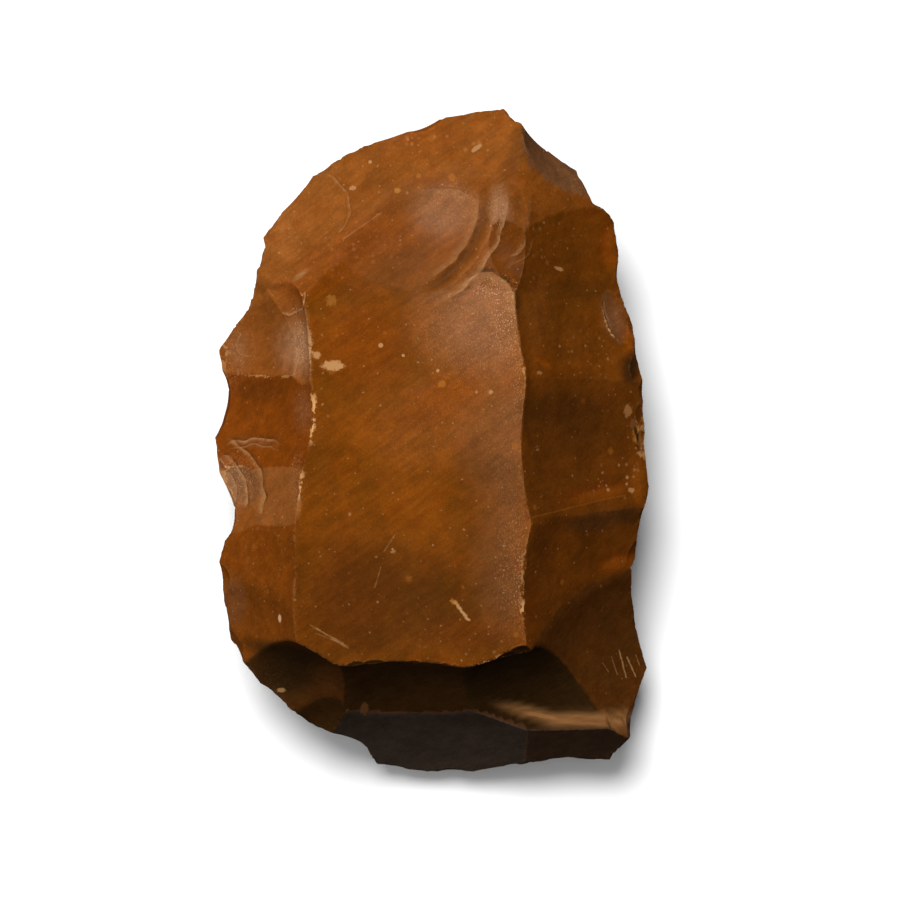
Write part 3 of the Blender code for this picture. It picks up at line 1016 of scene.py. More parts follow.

# %% Dark places and painted shade, and painted shade in the ripple troughs
# The troughs of the ripples on the lobe get painted shade, darkest at this depth.
TROUGH_DEEP = 0.42          # the depth in mm at which a trough is darkest
# Partly darker stone and partly painted shade, which lies on the butt, the lower rim and the right
# side.
DARK_AND_SHADE_DABS = [
    Dab((370, 600), (110, 100), 0, 0.50, PANEL), Dab((328, 470), (24, 110), 0, 0.12, PANEL),
    Dab((600, 514), (60, 20), 12, 0.50, ("right_low",)), Dab((560, 408), (60, 22), 0, 0.20),
    Dab((572, 292), (56, 14), 0, 0.25), Dab((262, 392), (36, 16), 0, 0.30, ("left_mid",)),
    Dab((400, 268), (60, 22), 25, 0.25), Dab((516, 160), (16, 50), -20, 0.30),
    Dab((470, 600), (80, 90), 0, 0.36, PANEL), Dab((486, 490), (60, 80), 0, 0.22, PANEL),
    Dab((630, 369), (14, 24), -10, 0.85),
    Dab((630, 514), (20, 14), 0, 0.5), Dab((490, 640), (90, 20), 0, 0.15, PANEL),
    Dab((372, 190), (20, 50), -35, 0.15), Dab((300, 560), (14, 70), 0, 0.12),
    Dab((575, 345), (40, 30), 0, 0.12), Dab((610, 640), (30, 40), 0, 0.15),
    Dab((580, 445), (50, 40), 0, 0.10), Dab((524, 280), (22, 20), 0, 0.16),
    Dab((570, 424), (60, 44), 0, 0.16),
    Dab((285, 650), (60, 12), -12, 0.8), Dab((288, 670), (46, 36), 10, 0.92),
    Dab((430, 770), (200, 14), 0, 0.7),
    Dab((250, 675), (30, 20), -45, 0.3), Dab((480, 345), (60, 20), 35, 0.10, PANEL),
]
# Painted shade in the troughs of the ripples on the lobe.
trough_shade = np.clip(-ringed / TROUGH_DEEP, 0.0, 1.0) ** 0.7 * in_scars(LOBE)
store("dark_and_shade", layered(layered(tone(3), dabbed(DARK_AND_SHADE_DABS)), 0.45 * trough_shade))

# %% [markdown]
# ## Sheen, bloom and sparkle
#
# Some scars shine more than the rest: a thin coat gives them a real gloss, and a painted sheen
# and painted glints are laid on their colour. Others look frosted: from afar that is a grey bloom,
# part of it painted sheen, and from near it is a crowd of sparkles, as tiny facets would give.
# Real facets would take millions of triangles, so the sparkles are painted highlights in dabs,
# and the material puts noise inside them.

# %% Where the stone shines
# The two heights below set where the painted highlight on a ripple crest is whitest.
CREST_HIGH = 0.30           # the height in mm at which a crest is whitest
FEATHER_HIGH = 0.16         # the same for the small crests of the feathered scar
# The sheen sets a thin coat of real gloss and also places painted cream glints in the colour.
SHEEN_DABS = [
    Dab((500, 330), (70, 80), 0, 1.0, PANEL), Dab((516, 450), (50, 120), 0, 0.7, PANEL),
    Dab((510, 590), (40, 70), 0, 0.4, PANEL), Dab((445, 215), (50, 40), 0, 1.0, LOBE),
    Dab((500, 218), (20, 40), 0, 1.0, LOBE),
    Dab((304, 348), (14, 36), 0, 1.0, ("pale_lip", "left_pale")),
    Dab((240, 465), (34, 40), 0, 0.8, FEATHERS), Dab((290, 235), (26, 44), 0, 0.35),
    Dab((425, 430), (70, 60), 0, 0.3, PANEL), Dab((240, 350), (20, 30), 0, 0.5),
    Dab((306, 410), (12, 30), 0, 0.8, ("left_mid",)), Dab((265, 680), (40, 30), 30, 0.4),
]
# A painted highlight on the crests of the ripples, laid into the bloom further down.
crest_highlight = np.clip(ringed / FEATHER_HIGH, 0.0, 1.0) * in_scars(FEATHERS)
crest_highlight = np.maximum(crest_highlight * dabbed(SHEEN_DABS),
                    np.clip(ringed / CREST_HIGH, 0.0, 1.0) ** 2 * upper_side)
store("sheen", dabbed(SHEEN_DABS))

# %% Where a grey bloom and painted sheen lie, and painted highlights on ripple crests
# Partly a grey frosted bloom and partly painted sheen: the dabs on the panel, lobe and pale lip.
BLOOM_AND_SHEEN_DABS = [
    Dab((228, 482), (28, 44), 10, 0.40, ("feather_scar", "left_small", "left_notch"), 0.9),
    Dab((256, 442), (32, 8), -4, 0.20, (), 0.9),
    Dab((484, 302), (32, 30), 0, 0.20, LOBE, 0.2), Dab((236, 600), (18, 34), 0, 0.20),
    Dab((488, 322), (96, 70), 0, 0.25, PANEL), Dab((445, 212), (46, 32), 0, 0.35, LOBE),
    Dab((303, 348), (36, 42), 0, 0.75, ("pale_lip", "left_pale"), 0.9),
    Dab((498, 214), (14, 36), 0, 0.60, LOBE),
    Dab((306, 410), (16, 34), 0, 0.20, ("left_mid",), 0.9), Dab((598, 520), (44, 14), 12, 0.10),
    Dab((612, 322), (14, 22), 0, 0.25), Dab((240, 350), (14, 26), 0, 0.25),
    Dab((522, 450), (36, 120), 0, 0.08, PANEL),
    Dab((500, 560), (40, 100), 0, 0.14, PANEL), Dab((492, 440), (50, 80), 0, 0.14, PANEL),
    Dab((226, 484), (24, 42), 10, 0.32, (), 0.9),
]
store("bloom_and_sheen", layered(layered(tone(2), dabbed(BLOOM_AND_SHEEN_DABS)), 0.3 * crest_highlight))

# %% Where painted sparkles lie, and where pale grains crowd
# Painted highlights: sparkles of light on tiny facets, dabbed where they lie.
SPARKLE_DABS = [
    Dab((506, 320), (20, 54), 0, 1.0, PANEL), Dab((492, 290), (28, 18), 0, 0.9),
    Dab((466, 335), (80, 80), 0, 0.25, PANEL), Dab((512, 560), (24, 90), 0, 0.35, PANEL),
    Dab((518, 380), (10, 60), 0, 0.5, PANEL), Dab((522, 590), (10, 60), 0, 0.5, PANEL),
    Dab((305, 346), (13, 34), 0, 1.0), Dab((452, 196), (34, 12), -14, 0.4),
    Dab((497, 215), (12, 30), 10, 0.4), Dab((240, 480), (30, 34), 0, 0.6),
    Dab((300, 312), (12, 8), 0, 0.8),
    Dab((236, 360), (16, 40), 0, 0.4), Dab((300, 480), (10, 40), 0, 0.5),
]
GRAINY_DABS = [
    Dab((615, 480), (34, 26), 0, 0.9), Dab((590, 356), (34, 34), 0, 0.5),
    Dab((440, 150), (80, 30), 0, 0.3), Dab((470, 640), (70, 20), 0, 0.3),
    Dab((350, 250), (80, 40), 0, 0.2), Dab((540, 235), (40, 60), 0, 0.25),
]
store("sparkle", dabbed(SPARKLE_DABS))
store("grainy", dabbed(GRAINY_DABS))

# %% [markdown]
# ## The old crust and the worn places
#
# A tan streak on the ledge at the butt looks like a rest of the nodule's old skin, and some
# ridges look rubbed pale. Both follow the stone's shape only in part, so they are dabbed too.

# %% The crust on the ledge, and worn places
LEDGE = ("butt_mid", "butt_right", "right_corner")
CRUST_DABS = [
    Dab((302, 278), (13, 4), 38, 0.8), Dab((641, 444), (4, 10), 0, 0.5),
    Dab((590, 721), (70, 14), -4, 0.85, LEDGE, 0.7),
    Dab((624, 718), (30, 13), 0, 0.6, LEDGE, 0.7),
    Dab((528, 710), (46, 9), -13, 0.75, LEDGE, 0.8),
]
WEAR_DABS = [
    Dab((315, 418), (12, 36), 0, 1.0), Dab((299, 482), (12, 26), 0, 1.0),
    Dab((310, 352), (10, 36), 0, 0.55), Dab((299, 560), (8, 70), 0, 0.10),
    Dab((300, 306), (14, 14), 0, 0.9), Dab((524, 606), (8, 14), 0, 0.9),
    Dab((522, 560), (8, 60), 0, 0.35), Dab((520, 340), (12, 40), 0, 0.15),
    Dab((480, 655), (40, 8), 0, 0.5), Dab((348, 205), (16, 34), 0, 0.45),
    Dab((232, 470), (20, 50), 0, 0.5), Dab((224, 350), (12, 40), 0, 0.4),
    Dab((610, 322), (16, 30), 0, 0.8), Dab((604, 500), (40, 10), 10, 0.25),
    Dab((640, 440), (10, 50), 0, 0.5), Dab((270, 378), (44, 5), 0, 0.5),
    Dab((326, 252), (40, 12), 40, 0.4), Dab((522, 378), (8, 20), 0, 0.4),
]
store("crust", dabbed(CRUST_DABS))
store("wear", dabbed(WEAR_DABS))

# %% [markdown]
# ## Shader helpers
#
# Shader graphs built in code get long. Two small helpers keep them readable: one adds a node
# and fills its sockets, whether with a number or with a link, and one blends two colours.

# %% Adding nodes
def add(tree, kind, settings=None, *ordered, **named):
    """Adds a node. Sockets are filled in order, or by name with _ for a space."""
    node = tree.nodes.new("ShaderNode" + kind)
    for key, value in (settings or {}).items():
        setattr(node, key, value)
    filled = list(enumerate(ordered))
    filled += [(key.replace("_", " "), value) for key, value in named.items()]
    for key, value in filled:
        if isinstance(value, bpy.types.NodeSocket):
            tree.links.new(value, node.inputs[key])
        elif value is not None:
            node.inputs[key].default_value = value
    return node


def sum_up(tree, operation, *values):
    """A Math node's result."""
    return add(tree, "Math", {"operation": operation}, *values).outputs[0]


def rise(tree, value, start, end, low=0.0, high=1.0):
    """A value taken smoothly from low at the start to high at the end."""
    return add(tree, "MapRange", {"interpolation_type": "SMOOTHSTEP"},
               Value=value, From_Min=start, From_Max=end, To_Min=low, To_Max=high).outputs[0]


def mix_colours(tree, share, first, second, blend="MIX"):
    """Two colours mixed by a share."""
    node = add(tree, "Mix", {"data_type": "RGBA", "blend_type": blend}, share)
    for key, value in ((6, first), (7, second)):
        if isinstance(value, bpy.types.NodeSocket):
            tree.links.new(value, node.inputs[key])
        else:
            node.inputs[key].default_value = (*value, 1.0)
    return node.outputs[2]


def new_group(name, inputs, outputs):
    """An empty node group with named sockets, and its two end nodes."""
    tree = bpy.data.node_groups.new(name, "ShaderNodeTree")
    for sockets, side in ((inputs, "INPUT"), (outputs, "OUTPUT")):
        for label, kind in sockets.items():
            tree.interface.new_socket(label, in_out=side, socket_type="NodeSocket" + kind)
    return tree, tree.nodes.new("NodeGroupInput").outputs, tree.nodes.new("NodeGroupOutput").inputs


def place_group(tree, group, **named):
    """Puts a node group into a tree and returns its outputs."""
    return add(tree, "Group", {"node_tree": group}, **named).outputs


# %% [markdown]
# ## Clouded stone
#
# Flint isn't one brown. It clouds softly from honey to olive over a centimetre, has patches of
# rust a few millimetres wide inside that, and a fine mottle inside those. Three noises at those
# three sizes give just that. A warped noise would be more drawn out, but it makes worms, which
# suit marble better than flint.

# %% A group for clouds
clouds, source, sink = new_group("stone_clouds", {"Place": "Vector"},
                                 {"Cloud": "Float", "Patch": "Float", "Rust": "Float",
                                  "Mottle": "Float"})


def soft_noise(tree, place, wavelength, detail, roughness, shift=(0.0, 0.0, 0.0)):
    """A noise of about this wavelength, in pattern mm."""
    moved = add(tree, "VectorMath", {"operation": "ADD"}, place, shift).outputs[0]
    return add(tree, "TexNoise", {}, Vector=moved, Scale=1 / wavelength, Detail=detail,
               Roughness=roughness).outputs[0]


for label, wavelength, detail, roughness, low_end, high_end, shift in (
        ("Cloud", 9.0, 2.0, 0.5, 0.33, 0.67, (3.1, 8.7, 1.9)),
        ("Patch", 2.3, 2.5, 0.55, 0.32, 0.68, (17.3, 2.1, 4.9)),
        ("Rust", 3.2, 3.0, 0.6, 0.48, 0.68, (5.7, 31.3, 8.2)),
        ("Mottle", 0.42, 2.0, 0.6, 0.30, 0.70, (0.0, 0.0, 0.0))):
    noise = soft_noise(clouds, source["Place"], wavelength, detail, roughness, shift)
    clouds.links.new(rise(clouds, noise, low_end, high_end), sink[label])
print("stone_clouds has", len(clouds.nodes), "nodes")

# %% [markdown]
# ## Specks
#
# Small pale fossils and chalky grains sit in the flint, about one to every few millimetres. A
# Voronoi pattern scatters points evenly at random. Only some of its cells get a speck, by the
# cell's own random number, and each speck's size comes from another.

# %% A group for specks
specks, source, sink = new_group(
    "pale_specks", {"Place": "Vector", "Spacing": "Float", "Size": "Float", "Share": "Float"},
    {"Mask": "Float", "Tone": "Float"})
shrunk = add(specks, "VectorMath", {"operation": "DIVIDE"}, source["Place"], source["Spacing"])
ragged = add(specks, "TexNoise", {}, Vector=source["Place"], Scale=3.6, Detail=2.0)
centred = add(specks, "VectorMath", {"operation": "SUBTRACT"}, ragged.outputs[1], (0.5, 0.5, 0.5))
moved = add(specks, "VectorMath", {"operation": "SCALE"}, centred.outputs[0], Scale=0.22)
warped = add(specks, "VectorMath", {"operation": "ADD"}, shrunk.outputs[0], moved.outputs[0])
cells = add(specks, "TexVoronoi", {}, Vector=warped.outputs[0], Scale=1.0, Randomness=0.9)
luck = add(specks, "SeparateColor", {}, cells.outputs["Color"])
chosen = sum_up(specks, "LESS_THAN", luck.outputs[0], source["Share"])
spread = sum_up(specks, "DIVIDE", source["Size"], source["Spacing"])
radius = sum_up(specks, "MULTIPLY", spread,
                sum_up(specks, "ADD", luck.outputs[1], 0.4))
share = sum_up(specks, "DIVIDE", cells.outputs["Distance"], radius)
specks.links.new(sum_up(specks, "MULTIPLY", chosen, rise(specks, share, 0.35, 1.0, 1.0, 0.0)),
                 sink["Mask"])
specks.links.new(luck.outputs[2], sink["Tone"])
print("pale_specks has", len(specks.nodes), "nodes")

# %% [markdown]
# ## Rubbed ridges
#
# A ridge that has been handled or ground is a thin pale line, broken here and there. The group
# turns the stored distance into such a line, and lets noise eat into its width.

# %% A group for rubbed ridges
rub, source, sink = new_group("ridge_rub", {"Place": "Vector", "Gap": "Float", "Width": "Float"},
                              {"Mask": "Float"})
breaks = soft_noise(rub, source["Place"], 0.8, 3.0, 0.65)
width = sum_up(rub, "MULTIPLY", source["Width"], rise(rub, breaks, 0.44, 0.66, 0.0, 1.7))
share = sum_up(rub, "DIVIDE", source["Gap"], sum_up(rub, "MAXIMUM", width, 0.001))
rub.links.new(rise(rub, share, 0.3, 1.0, 1.0, 0.0), sink["Mask"])
print("ridge_rub has", len(rub.nodes), "nodes")

# %% [markdown]
# ## The grain of a fresh break
#
# Close to, a scar isn't polished: it sparkles with tiny stretched facets, a fifth of a
# millimetre wide. That is far too fine for the mesh and it doesn't change the outline, so this
# is what a bump is for. Noise squeezed in one direction gives short dashes.

# %% A group for the grain
grain, source, sink = new_group(
    "break_grain", {"Place": "Vector", "Stretch": "Vector"}, {"Height": "Float", "Fleck": "Float"})
pulled = add(grain, "VectorMath", {"operation": "DIVIDE"}, source["Place"], source["Stretch"])
dashes = add(grain, "TexNoise", {}, Vector=pulled.outputs[0], Scale=1.0, Detail=2.5,
             Roughness=0.6)
skin = soft_noise(grain, source["Place"], 0.9, 4.0, 0.6)
height = sum_up(grain, "ADD", sum_up(grain, "MULTIPLY", dashes.outputs[0], 0.6),
                sum_up(grain, "MULTIPLY", skin, 0.4))
grain.links.new(height, sink["Height"])
grain.links.new(rise(grain, dashes.outputs[0], 0.5, 0.75), sink["Fleck"])
print("break_grain has", len(grain.nodes), "nodes")

# %% [markdown]
# ## Marks and scratches
#
# A few marks are this stone's own: a chalky blot, some orange fossil spots, fine scratches. The
# same groups also draw painted highlights: two small glints and a highlight line along one ridge.
# They are smaller than the mesh could carry, so each is worked out in the material. A mark is an
# ellipse with a ragged edge. A scratch is all the places near a line from one spot to another.

# %% A group for a ragged mark
mark, source, sink = new_group(
    "ragged_mark", {"Place": "Vector", "Middle": "Vector", "Half": "Vector", "Turn": "Float",
                    "Ragged": "Float"}, {"Mask": "Float"})
offset = add(mark, "VectorMath", {"operation": "SUBTRACT"}, source["Place"], source["Middle"])
turned = add(mark, "VectorRotate", {"rotation_type": "Z_AXIS"}, Vector=offset.outputs[0],
             Angle=source["Turn"])
scaled = add(mark, "VectorMath", {"operation": "DIVIDE"}, turned.outputs[0], source["Half"])
flat_on = add(mark, "VectorMath", {"operation": "MULTIPLY"}, scaled.outputs[0], (1.0, 1.0, 0.0))
radius = add(mark, "VectorMath", {"operation": "LENGTH"}, flat_on.outputs[0]).outputs["Value"]
rough_edge = sum_up(mark, "SUBTRACT", soft_noise(mark, source["Place"], 0.55, 3.0, 0.65), 0.5)
radius = sum_up(mark, "ADD", radius, sum_up(mark, "MULTIPLY", rough_edge, source["Ragged"]))
mark.links.new(rise(mark, radius, 0.65, 1.1, 1.0, 0.0), sink["Mask"])
print("ragged_mark has", len(mark.nodes), "nodes")

# %% A group for a scratch
scratch, source, sink = new_group(
    "scratch", {"Place": "Vector", "Start": "Vector", "End": "Vector", "Width": "Float"},
    {"Mask": "Float"})
level = add(scratch, "VectorMath", {"operation": "MULTIPLY"}, source["Place"], (1.0, 1.0, 0.0))
along = add(scratch, "VectorMath", {"operation": "SUBTRACT"}, source["End"], source["Start"])
offset = add(scratch, "VectorMath", {"operation": "SUBTRACT"}, level.outputs[0], source["Start"])
part = add(scratch, "VectorMath", {"operation": "DOT_PRODUCT"}, offset.outputs[0],
           along.outputs[0]).outputs["Value"]
whole = add(scratch, "VectorMath", {"operation": "DOT_PRODUCT"}, along.outputs[0],
            along.outputs[0]).outputs["Value"]
share = add(scratch, "Math", {"operation": "DIVIDE", "use_clamp": True}, part, whole).outputs[0]
foot = add(scratch, "VectorMath", {"operation": "SCALE"}, along.outputs[0], Scale=share)
gap = add(scratch, "VectorMath", {"operation": "DISTANCE"}, offset.outputs[0],
          foot.outputs[0]).outputs["Value"]
broken = rise(scratch, soft_noise(scratch, source["Place"], 0.7, 2.0, 0.6), 0.3, 0.6, 0.35, 1.2)
share = sum_up(scratch, "DIVIDE", gap, sum_up(scratch, "MULTIPLY", source["Width"], broken))
scratch.links.new(rise(scratch, share, 0.2, 1.0, 1.0, 0.0), sink["Mask"])
print("scratch has", len(scratch.nodes), "nodes")

# %% [markdown]
# ## Crests of the ripples
#
# Each ripple and hinge has a crest: it climbs slowly, ends in a line as thin as a hair, and drops
# at once. The mesh carries the swell of the ripples, but its half a millimetre is too coarse for
# that line. So the pale crest and the dark foot behind it are painted in the material, as a
# painted highlight and painted shade. One group measures how far a place is from the spot where
# the shock began, the eye, and another draws a crest at a given distance.

# %% A group for the distance to an eye
polar, source, sink = new_group(
    "round_an_eye", {"Place": "Vector", "Eye": "Vector", "Heading": "Vector", "Least": "Float"},
    {"Radius": "Float", "Shown": "Float"})
offset = add(polar, "VectorMath", {"operation": "SUBTRACT"}, source["Place"], source["Eye"])
level = add(polar, "VectorMath", {"operation": "MULTIPLY"}, offset.outputs[0], (1.0, 1.0, 0.0))
radius = add(polar, "VectorMath", {"operation": "LENGTH"}, level.outputs[0]).outputs["Value"]
ahead = add(polar, "VectorMath", {"operation": "DOT_PRODUCT"}, level.outputs[0],
            source["Heading"]).outputs["Value"]
cosine = sum_up(polar, "DIVIDE", ahead, sum_up(polar, "MAXIMUM", radius, 0.01))
wander = sum_up(polar, "SUBTRACT", soft_noise(polar, source["Place"], 3.2, 1.6, 0.5), 0.5)
polar.links.new(sum_up(polar, "ADD", radius, sum_up(polar, "MULTIPLY", wander, 1.5)),
                sink["Radius"])
fades = rise(polar, cosine, source["Least"], sum_up(polar, "ADD", source["Least"], 0.12))
gaps = rise(polar, soft_noise(polar, source["Place"], 1.1, 2.0, 0.6, (4.0, 9.0, 2.0)), 0.34, 0.6)
polar.links.new(sum_up(polar, "MULTIPLY", fades, sum_up(polar, "MULTIPLY_ADD", gaps, 0.65, 0.35)),
                sink["Shown"])

print("round_an_eye has", len(polar.nodes), "nodes")

# %% A group for one crest
crest, source, sink = new_group(
    "crest", {"Radius": "Float", "At": "Float", "Climb": "Float", "Drop": "Float"},
    {"Lit": "Float", "Shaded": "Float"})
past = sum_up(crest, "SUBTRACT", source["Radius"], source["At"])
climbed = rise(crest, sum_up(crest, "DIVIDE", past, source["Climb"]), -1.0, 0.0)
fallen = rise(crest, past, -0.02, 0.14)
crest.links.new(sum_up(crest, "MULTIPLY", climbed, sum_up(crest, "SUBTRACT", 1.0, fallen)),
                sink["Lit"])
dropped = rise(crest, sum_up(crest, "DIVIDE", past, source["Drop"]), 0.2, 1.0, 1.0, 0.0)
crest.links.new(sum_up(crest, "MULTIPLY", fallen, dropped), sink["Shaded"])
print("crest has", len(crest.nodes), "nodes")

# %% [markdown]
# ## The flint itself
#
# Flint is a stone, so it has no metal: one Principled BSDF with a faint soft gloss, and a thin
# coat for the few scars that shine more than the rest. Its colour is built up in layers, much as
# it is in the stone, though some layers are painted light and shade: the clouds first, then the
# tones of each scar with their painted shade and sheen, the grain with its painted sparkle, the
# crust, the specks, the rubbed ridges, and at last the crests with their painted highlight and
# shade, and the marks.

# %% Colours of the flint
HONEY = (0.146, 0.0375, 0.0020)
OLIVE = (0.112, 0.0320, 0.0014)
AMBER = (0.180, 0.0460, 0.0028)
RUST = (0.162, 0.0325, 0.0013)
# Light amber also carries a painted sheen, and glow orange is a painted glow.
LIGHT_AMBER = (0.242, 0.0750, 0.0120)
PAINTED_GLOW_ORANGE = (0.400, 0.0950, 0.0045)
# Bloom grey also carries a painted sheen; dark brown and slate grey carry painted shade.
BLOOM_AND_SHEEN_GREY = (0.250, 0.1200, 0.0560)
DARK_BROWN = (0.022, 0.0105, 0.0030)
SLATE_AND_SHADE_GREY = (0.042, 0.0280, 0.0200)
CRUST_TAN = (0.330, 0.1500, 0.0520)
CRUST_BROWN = (0.160, 0.0660, 0.0200)
# Cream also paints glints and crest highlights, besides pale grains.
CREAM = (0.380, 0.2000, 0.0800)
ORANGE = (0.270, 0.0850, 0.0100)
RUBBED = (0.520, 0.2700, 0.1000)
CHALK = (0.400, 0.2000, 0.0740)
YELLOW = (0.300, 0.1200, 0.0200)
# Spark is the colour of painted sparkles.
SPARK = (0.560, 0.3300, 0.1900)

# %% An empty material, and two ways to fill it
flint = bpy.data.materials.new("honey_flint")
flint.use_nodes = True
tree = flint.node_tree
shader = tree.nodes["Principled BSDF"]
shader.inputs["Metallic"].default_value = 0.0
shader.inputs["IOR"].default_value = 1.54
print(flint.name, "starts with", len(tree.nodes), "nodes")


def painted(name):
    """A number stored on the mesh, as a socket."""
    return add(tree, "Attribute", {"attribute_name": name}).outputs["Fac"]


def grey(value):
    """A value as a grey colour."""
    return add(tree, "CombineColor", {}, value, value, value).outputs[0]


# %% The clouds, and the painted tones over them
HONEY_SHARE = 0.4           # how much of the clouds the even honey takes over
CLOUDED_RUST = 0.35         # how strong the rusty patches of the clouds are
metres = add(tree, "TexCoord").outputs["Object"]        # where on the stone, not on the screen
place = add(tree, "VectorMath", {"operation": "SCALE"}, metres, Scale=1 / MM).outputs[0]
stone_clouds = place_group(tree, clouds, Place=place)
colour = mix_colours(tree, stone_clouds["Cloud"], OLIVE, AMBER)
colour = mix_colours(tree, HONEY_SHARE, colour, HONEY)
rustiness = sum_up(tree, "MULTIPLY", stone_clouds["Rust"], CLOUDED_RUST)
rustiness = sum_up(tree, "MAXIMUM", rustiness, painted("rust"))
# Pale and bloom also hold a painted sheen, glow is painted light, dark and slate painted shade.
for share, layer in ((painted("pale"), LIGHT_AMBER), (rustiness, RUST),
                     (painted("painted_glow"), PAINTED_GLOW_ORANGE), (painted("bloom_and_sheen"), BLOOM_AND_SHEEN_GREY),
                     (painted("dark_and_shade"), DARK_BROWN), (painted("slate_and_shade"), SLATE_AND_SHADE_GREY)):
    colour = mix_colours(tree, share, colour, layer)
print("With clouds and tones it has", len(tree.nodes), "nodes")

# %% Grain and streaks in the colour
STREAK_ANGLE = -0.62                # in radians, how far the streaks run from straight across
STREAK_PULL = (0.16, 1.3, 1.0)      # drawn out along the streak, squeezed across it
GRAIN_STRETCH = (0.18, 0.42, 0.3)   # how wide, long and high a facet of the break is, in mm


def pulled_place(from_place, pull):
    """The place with its three directions stretched or squeezed, for drawn-out noise."""
    return add(tree, "VectorMath", {"operation": "MULTIPLY"}, from_place, pull).outputs[0]


fresh = place_group(tree, grain, Place=place, Stretch=GRAIN_STRETCH)
turned = add(tree, "VectorRotate", {"rotation_type": "Z_AXIS"}, Vector=place, Angle=STREAK_ANGLE)
streaks = soft_noise(tree, pulled_place(turned.outputs[0], STREAK_PULL), 1.1, 3.0, 0.6)
for noise, least, most in (
        (stone_clouds["Patch"], 0.92, 1.08), (stone_clouds["Mottle"], 0.94, 1.06),
        (fresh["Fleck"], 0.93, 1.20), (rise(tree, streaks, 0.3, 0.7), 0.92, 1.08)):
    shade = grey(rise(tree, noise, 0.0, 1.0, least, most))
    colour = mix_colours(tree, 1.0, colour, shade, "MULTIPLY")
print("With grain and streaks it has", len(tree.nodes), "nodes")

# %% Painted glints on the scars that shine, and painted sparkles of facets
# The glints and sparkles are painted highlights of light on tiny facets.
GLINT = 0.2                 # how much of the cream colour the best glints get
SPARKLE = 0.9               # and the sparkling facets, of the spark colour
glint = sum_up(tree, "MULTIPLY", sum_up(tree, "MULTIPLY", fresh["Fleck"], painted("sheen")), GLINT)
colour = mix_colours(tree, glint, colour, CREAM)
sparks = soft_noise(tree, pulled_place(place, (1.0, 0.6, 1.0)), 0.17, 2.0, 0.7)
sparks = sum_up(tree, "MULTIPLY", rise(tree, sparks, 0.56, 0.70), painted("sparkle"))
colour = mix_colours(tree, sum_up(tree, "MULTIPLY", sparks, SPARKLE), colour, SPARK)
print("With glints and sparkles it has", len(tree.nodes), "nodes")

# %% The old crust
CRUST_PULL = (0.3, 1.5, 1.0)        # the crust's own streaks run across the stone
crust_noise = soft_noise(tree, pulled_place(place, CRUST_PULL), 1.6, 4.0, 0.55)
crust_tone = rise(tree, crust_noise, 0.3, 0.7, 0.2, 0.8)
crust_colour = mix_colours(tree, crust_tone, CRUST_BROWN, CRUST_TAN)
crust_cover = sum_up(tree, "MULTIPLY", painted("crust"), rise(tree, crust_noise, 0.2, 0.5, 0.9))
colour = mix_colours(tree, crust_cover, colour, crust_colour)
print("With the crust it has", len(tree.nodes), "nodes")

# %% Specks on the flint
shaded_stone = sum_up(tree, "MAXIMUM", painted("dark_and_shade"), painted("slate_and_shade"))
in_light = rise(tree, shaded_stone, 0.4, 0.8, 1.0, 0.0)
crowded = sum_up(tree, "MULTIPLY", painted("grainy"), in_light)

# Spacing and size in mm, what share of the cells has a speck, how strong, its colour, and where
for spacing, size, frequency, strength, spot_colour, cover in (
        (4.2, 0.70, 0.40, 0.42, ORANGE, in_light), (1.15, 0.17, 0.60, 0.40, CREAM, in_light),
        (2.3, 0.26, 0.40, 0.42, CREAM, in_light), (8.0, 0.45, 0.30, 0.60, CREAM, in_light),
        (1.1, 0.36, 0.50, 0.75, CREAM, crowded)):
    spots = place_group(tree, specks, Place=place, Spacing=spacing, Size=size, Share=frequency)
    cover = sum_up(tree, "MULTIPLY", sum_up(tree, "MULTIPLY", spots["Mask"], strength), cover)
    colour = mix_colours(tree, cover, colour, spot_colour)
print("With specks it has", len(tree.nodes), "nodes")

# %% Rubbed ridges on the flint
RUB_WIDTH = 0.34            # mm
RUB_LEAST, RUB_MOST = 0.04, 0.85    # how pale the line is on a fresh ridge and on a worn one
rubbed = place_group(tree, rub, Place=place, Gap=painted("ridge_gap"),
                     Width=RUB_WIDTH)["Mask"]
worn = rise(tree, painted("wear"), 0.0, 1.0, RUB_LEAST, RUB_MOST)
worn = sum_up(tree, "MULTIPLY", rubbed, worn)
colour = mix_colours(tree, worn, colour, RUBBED)
print("With rubbed ridges it has", len(tree.nodes), "nodes")

# %% [markdown]
# ## What only this stone has
#
# Last come the things that make it this core and no other: the crests of its ripples, with their
# painted highlight and shade, its blots and fossil spots, two of them painted glints, and its
# scratches, two of them a painted highlight along a ridge. Painting them by hand on a picture
# would tie them to one size of picture, so they are listed with their places on the pattern, and
# loops lay them over the colour. The groups look only at the plan, so a mask keeps all this off
# the underside.

# %% The crests of its ripples, as painted highlight and shade
# An eye, the compass angle in which its crests lie and how far to each side they run, and of each
# crest the radius, how far it climbs and drops in mm, and how strong its painted highlight and
# its painted shade are
Crests = namedtuple("Crests", "eye heading spread table")

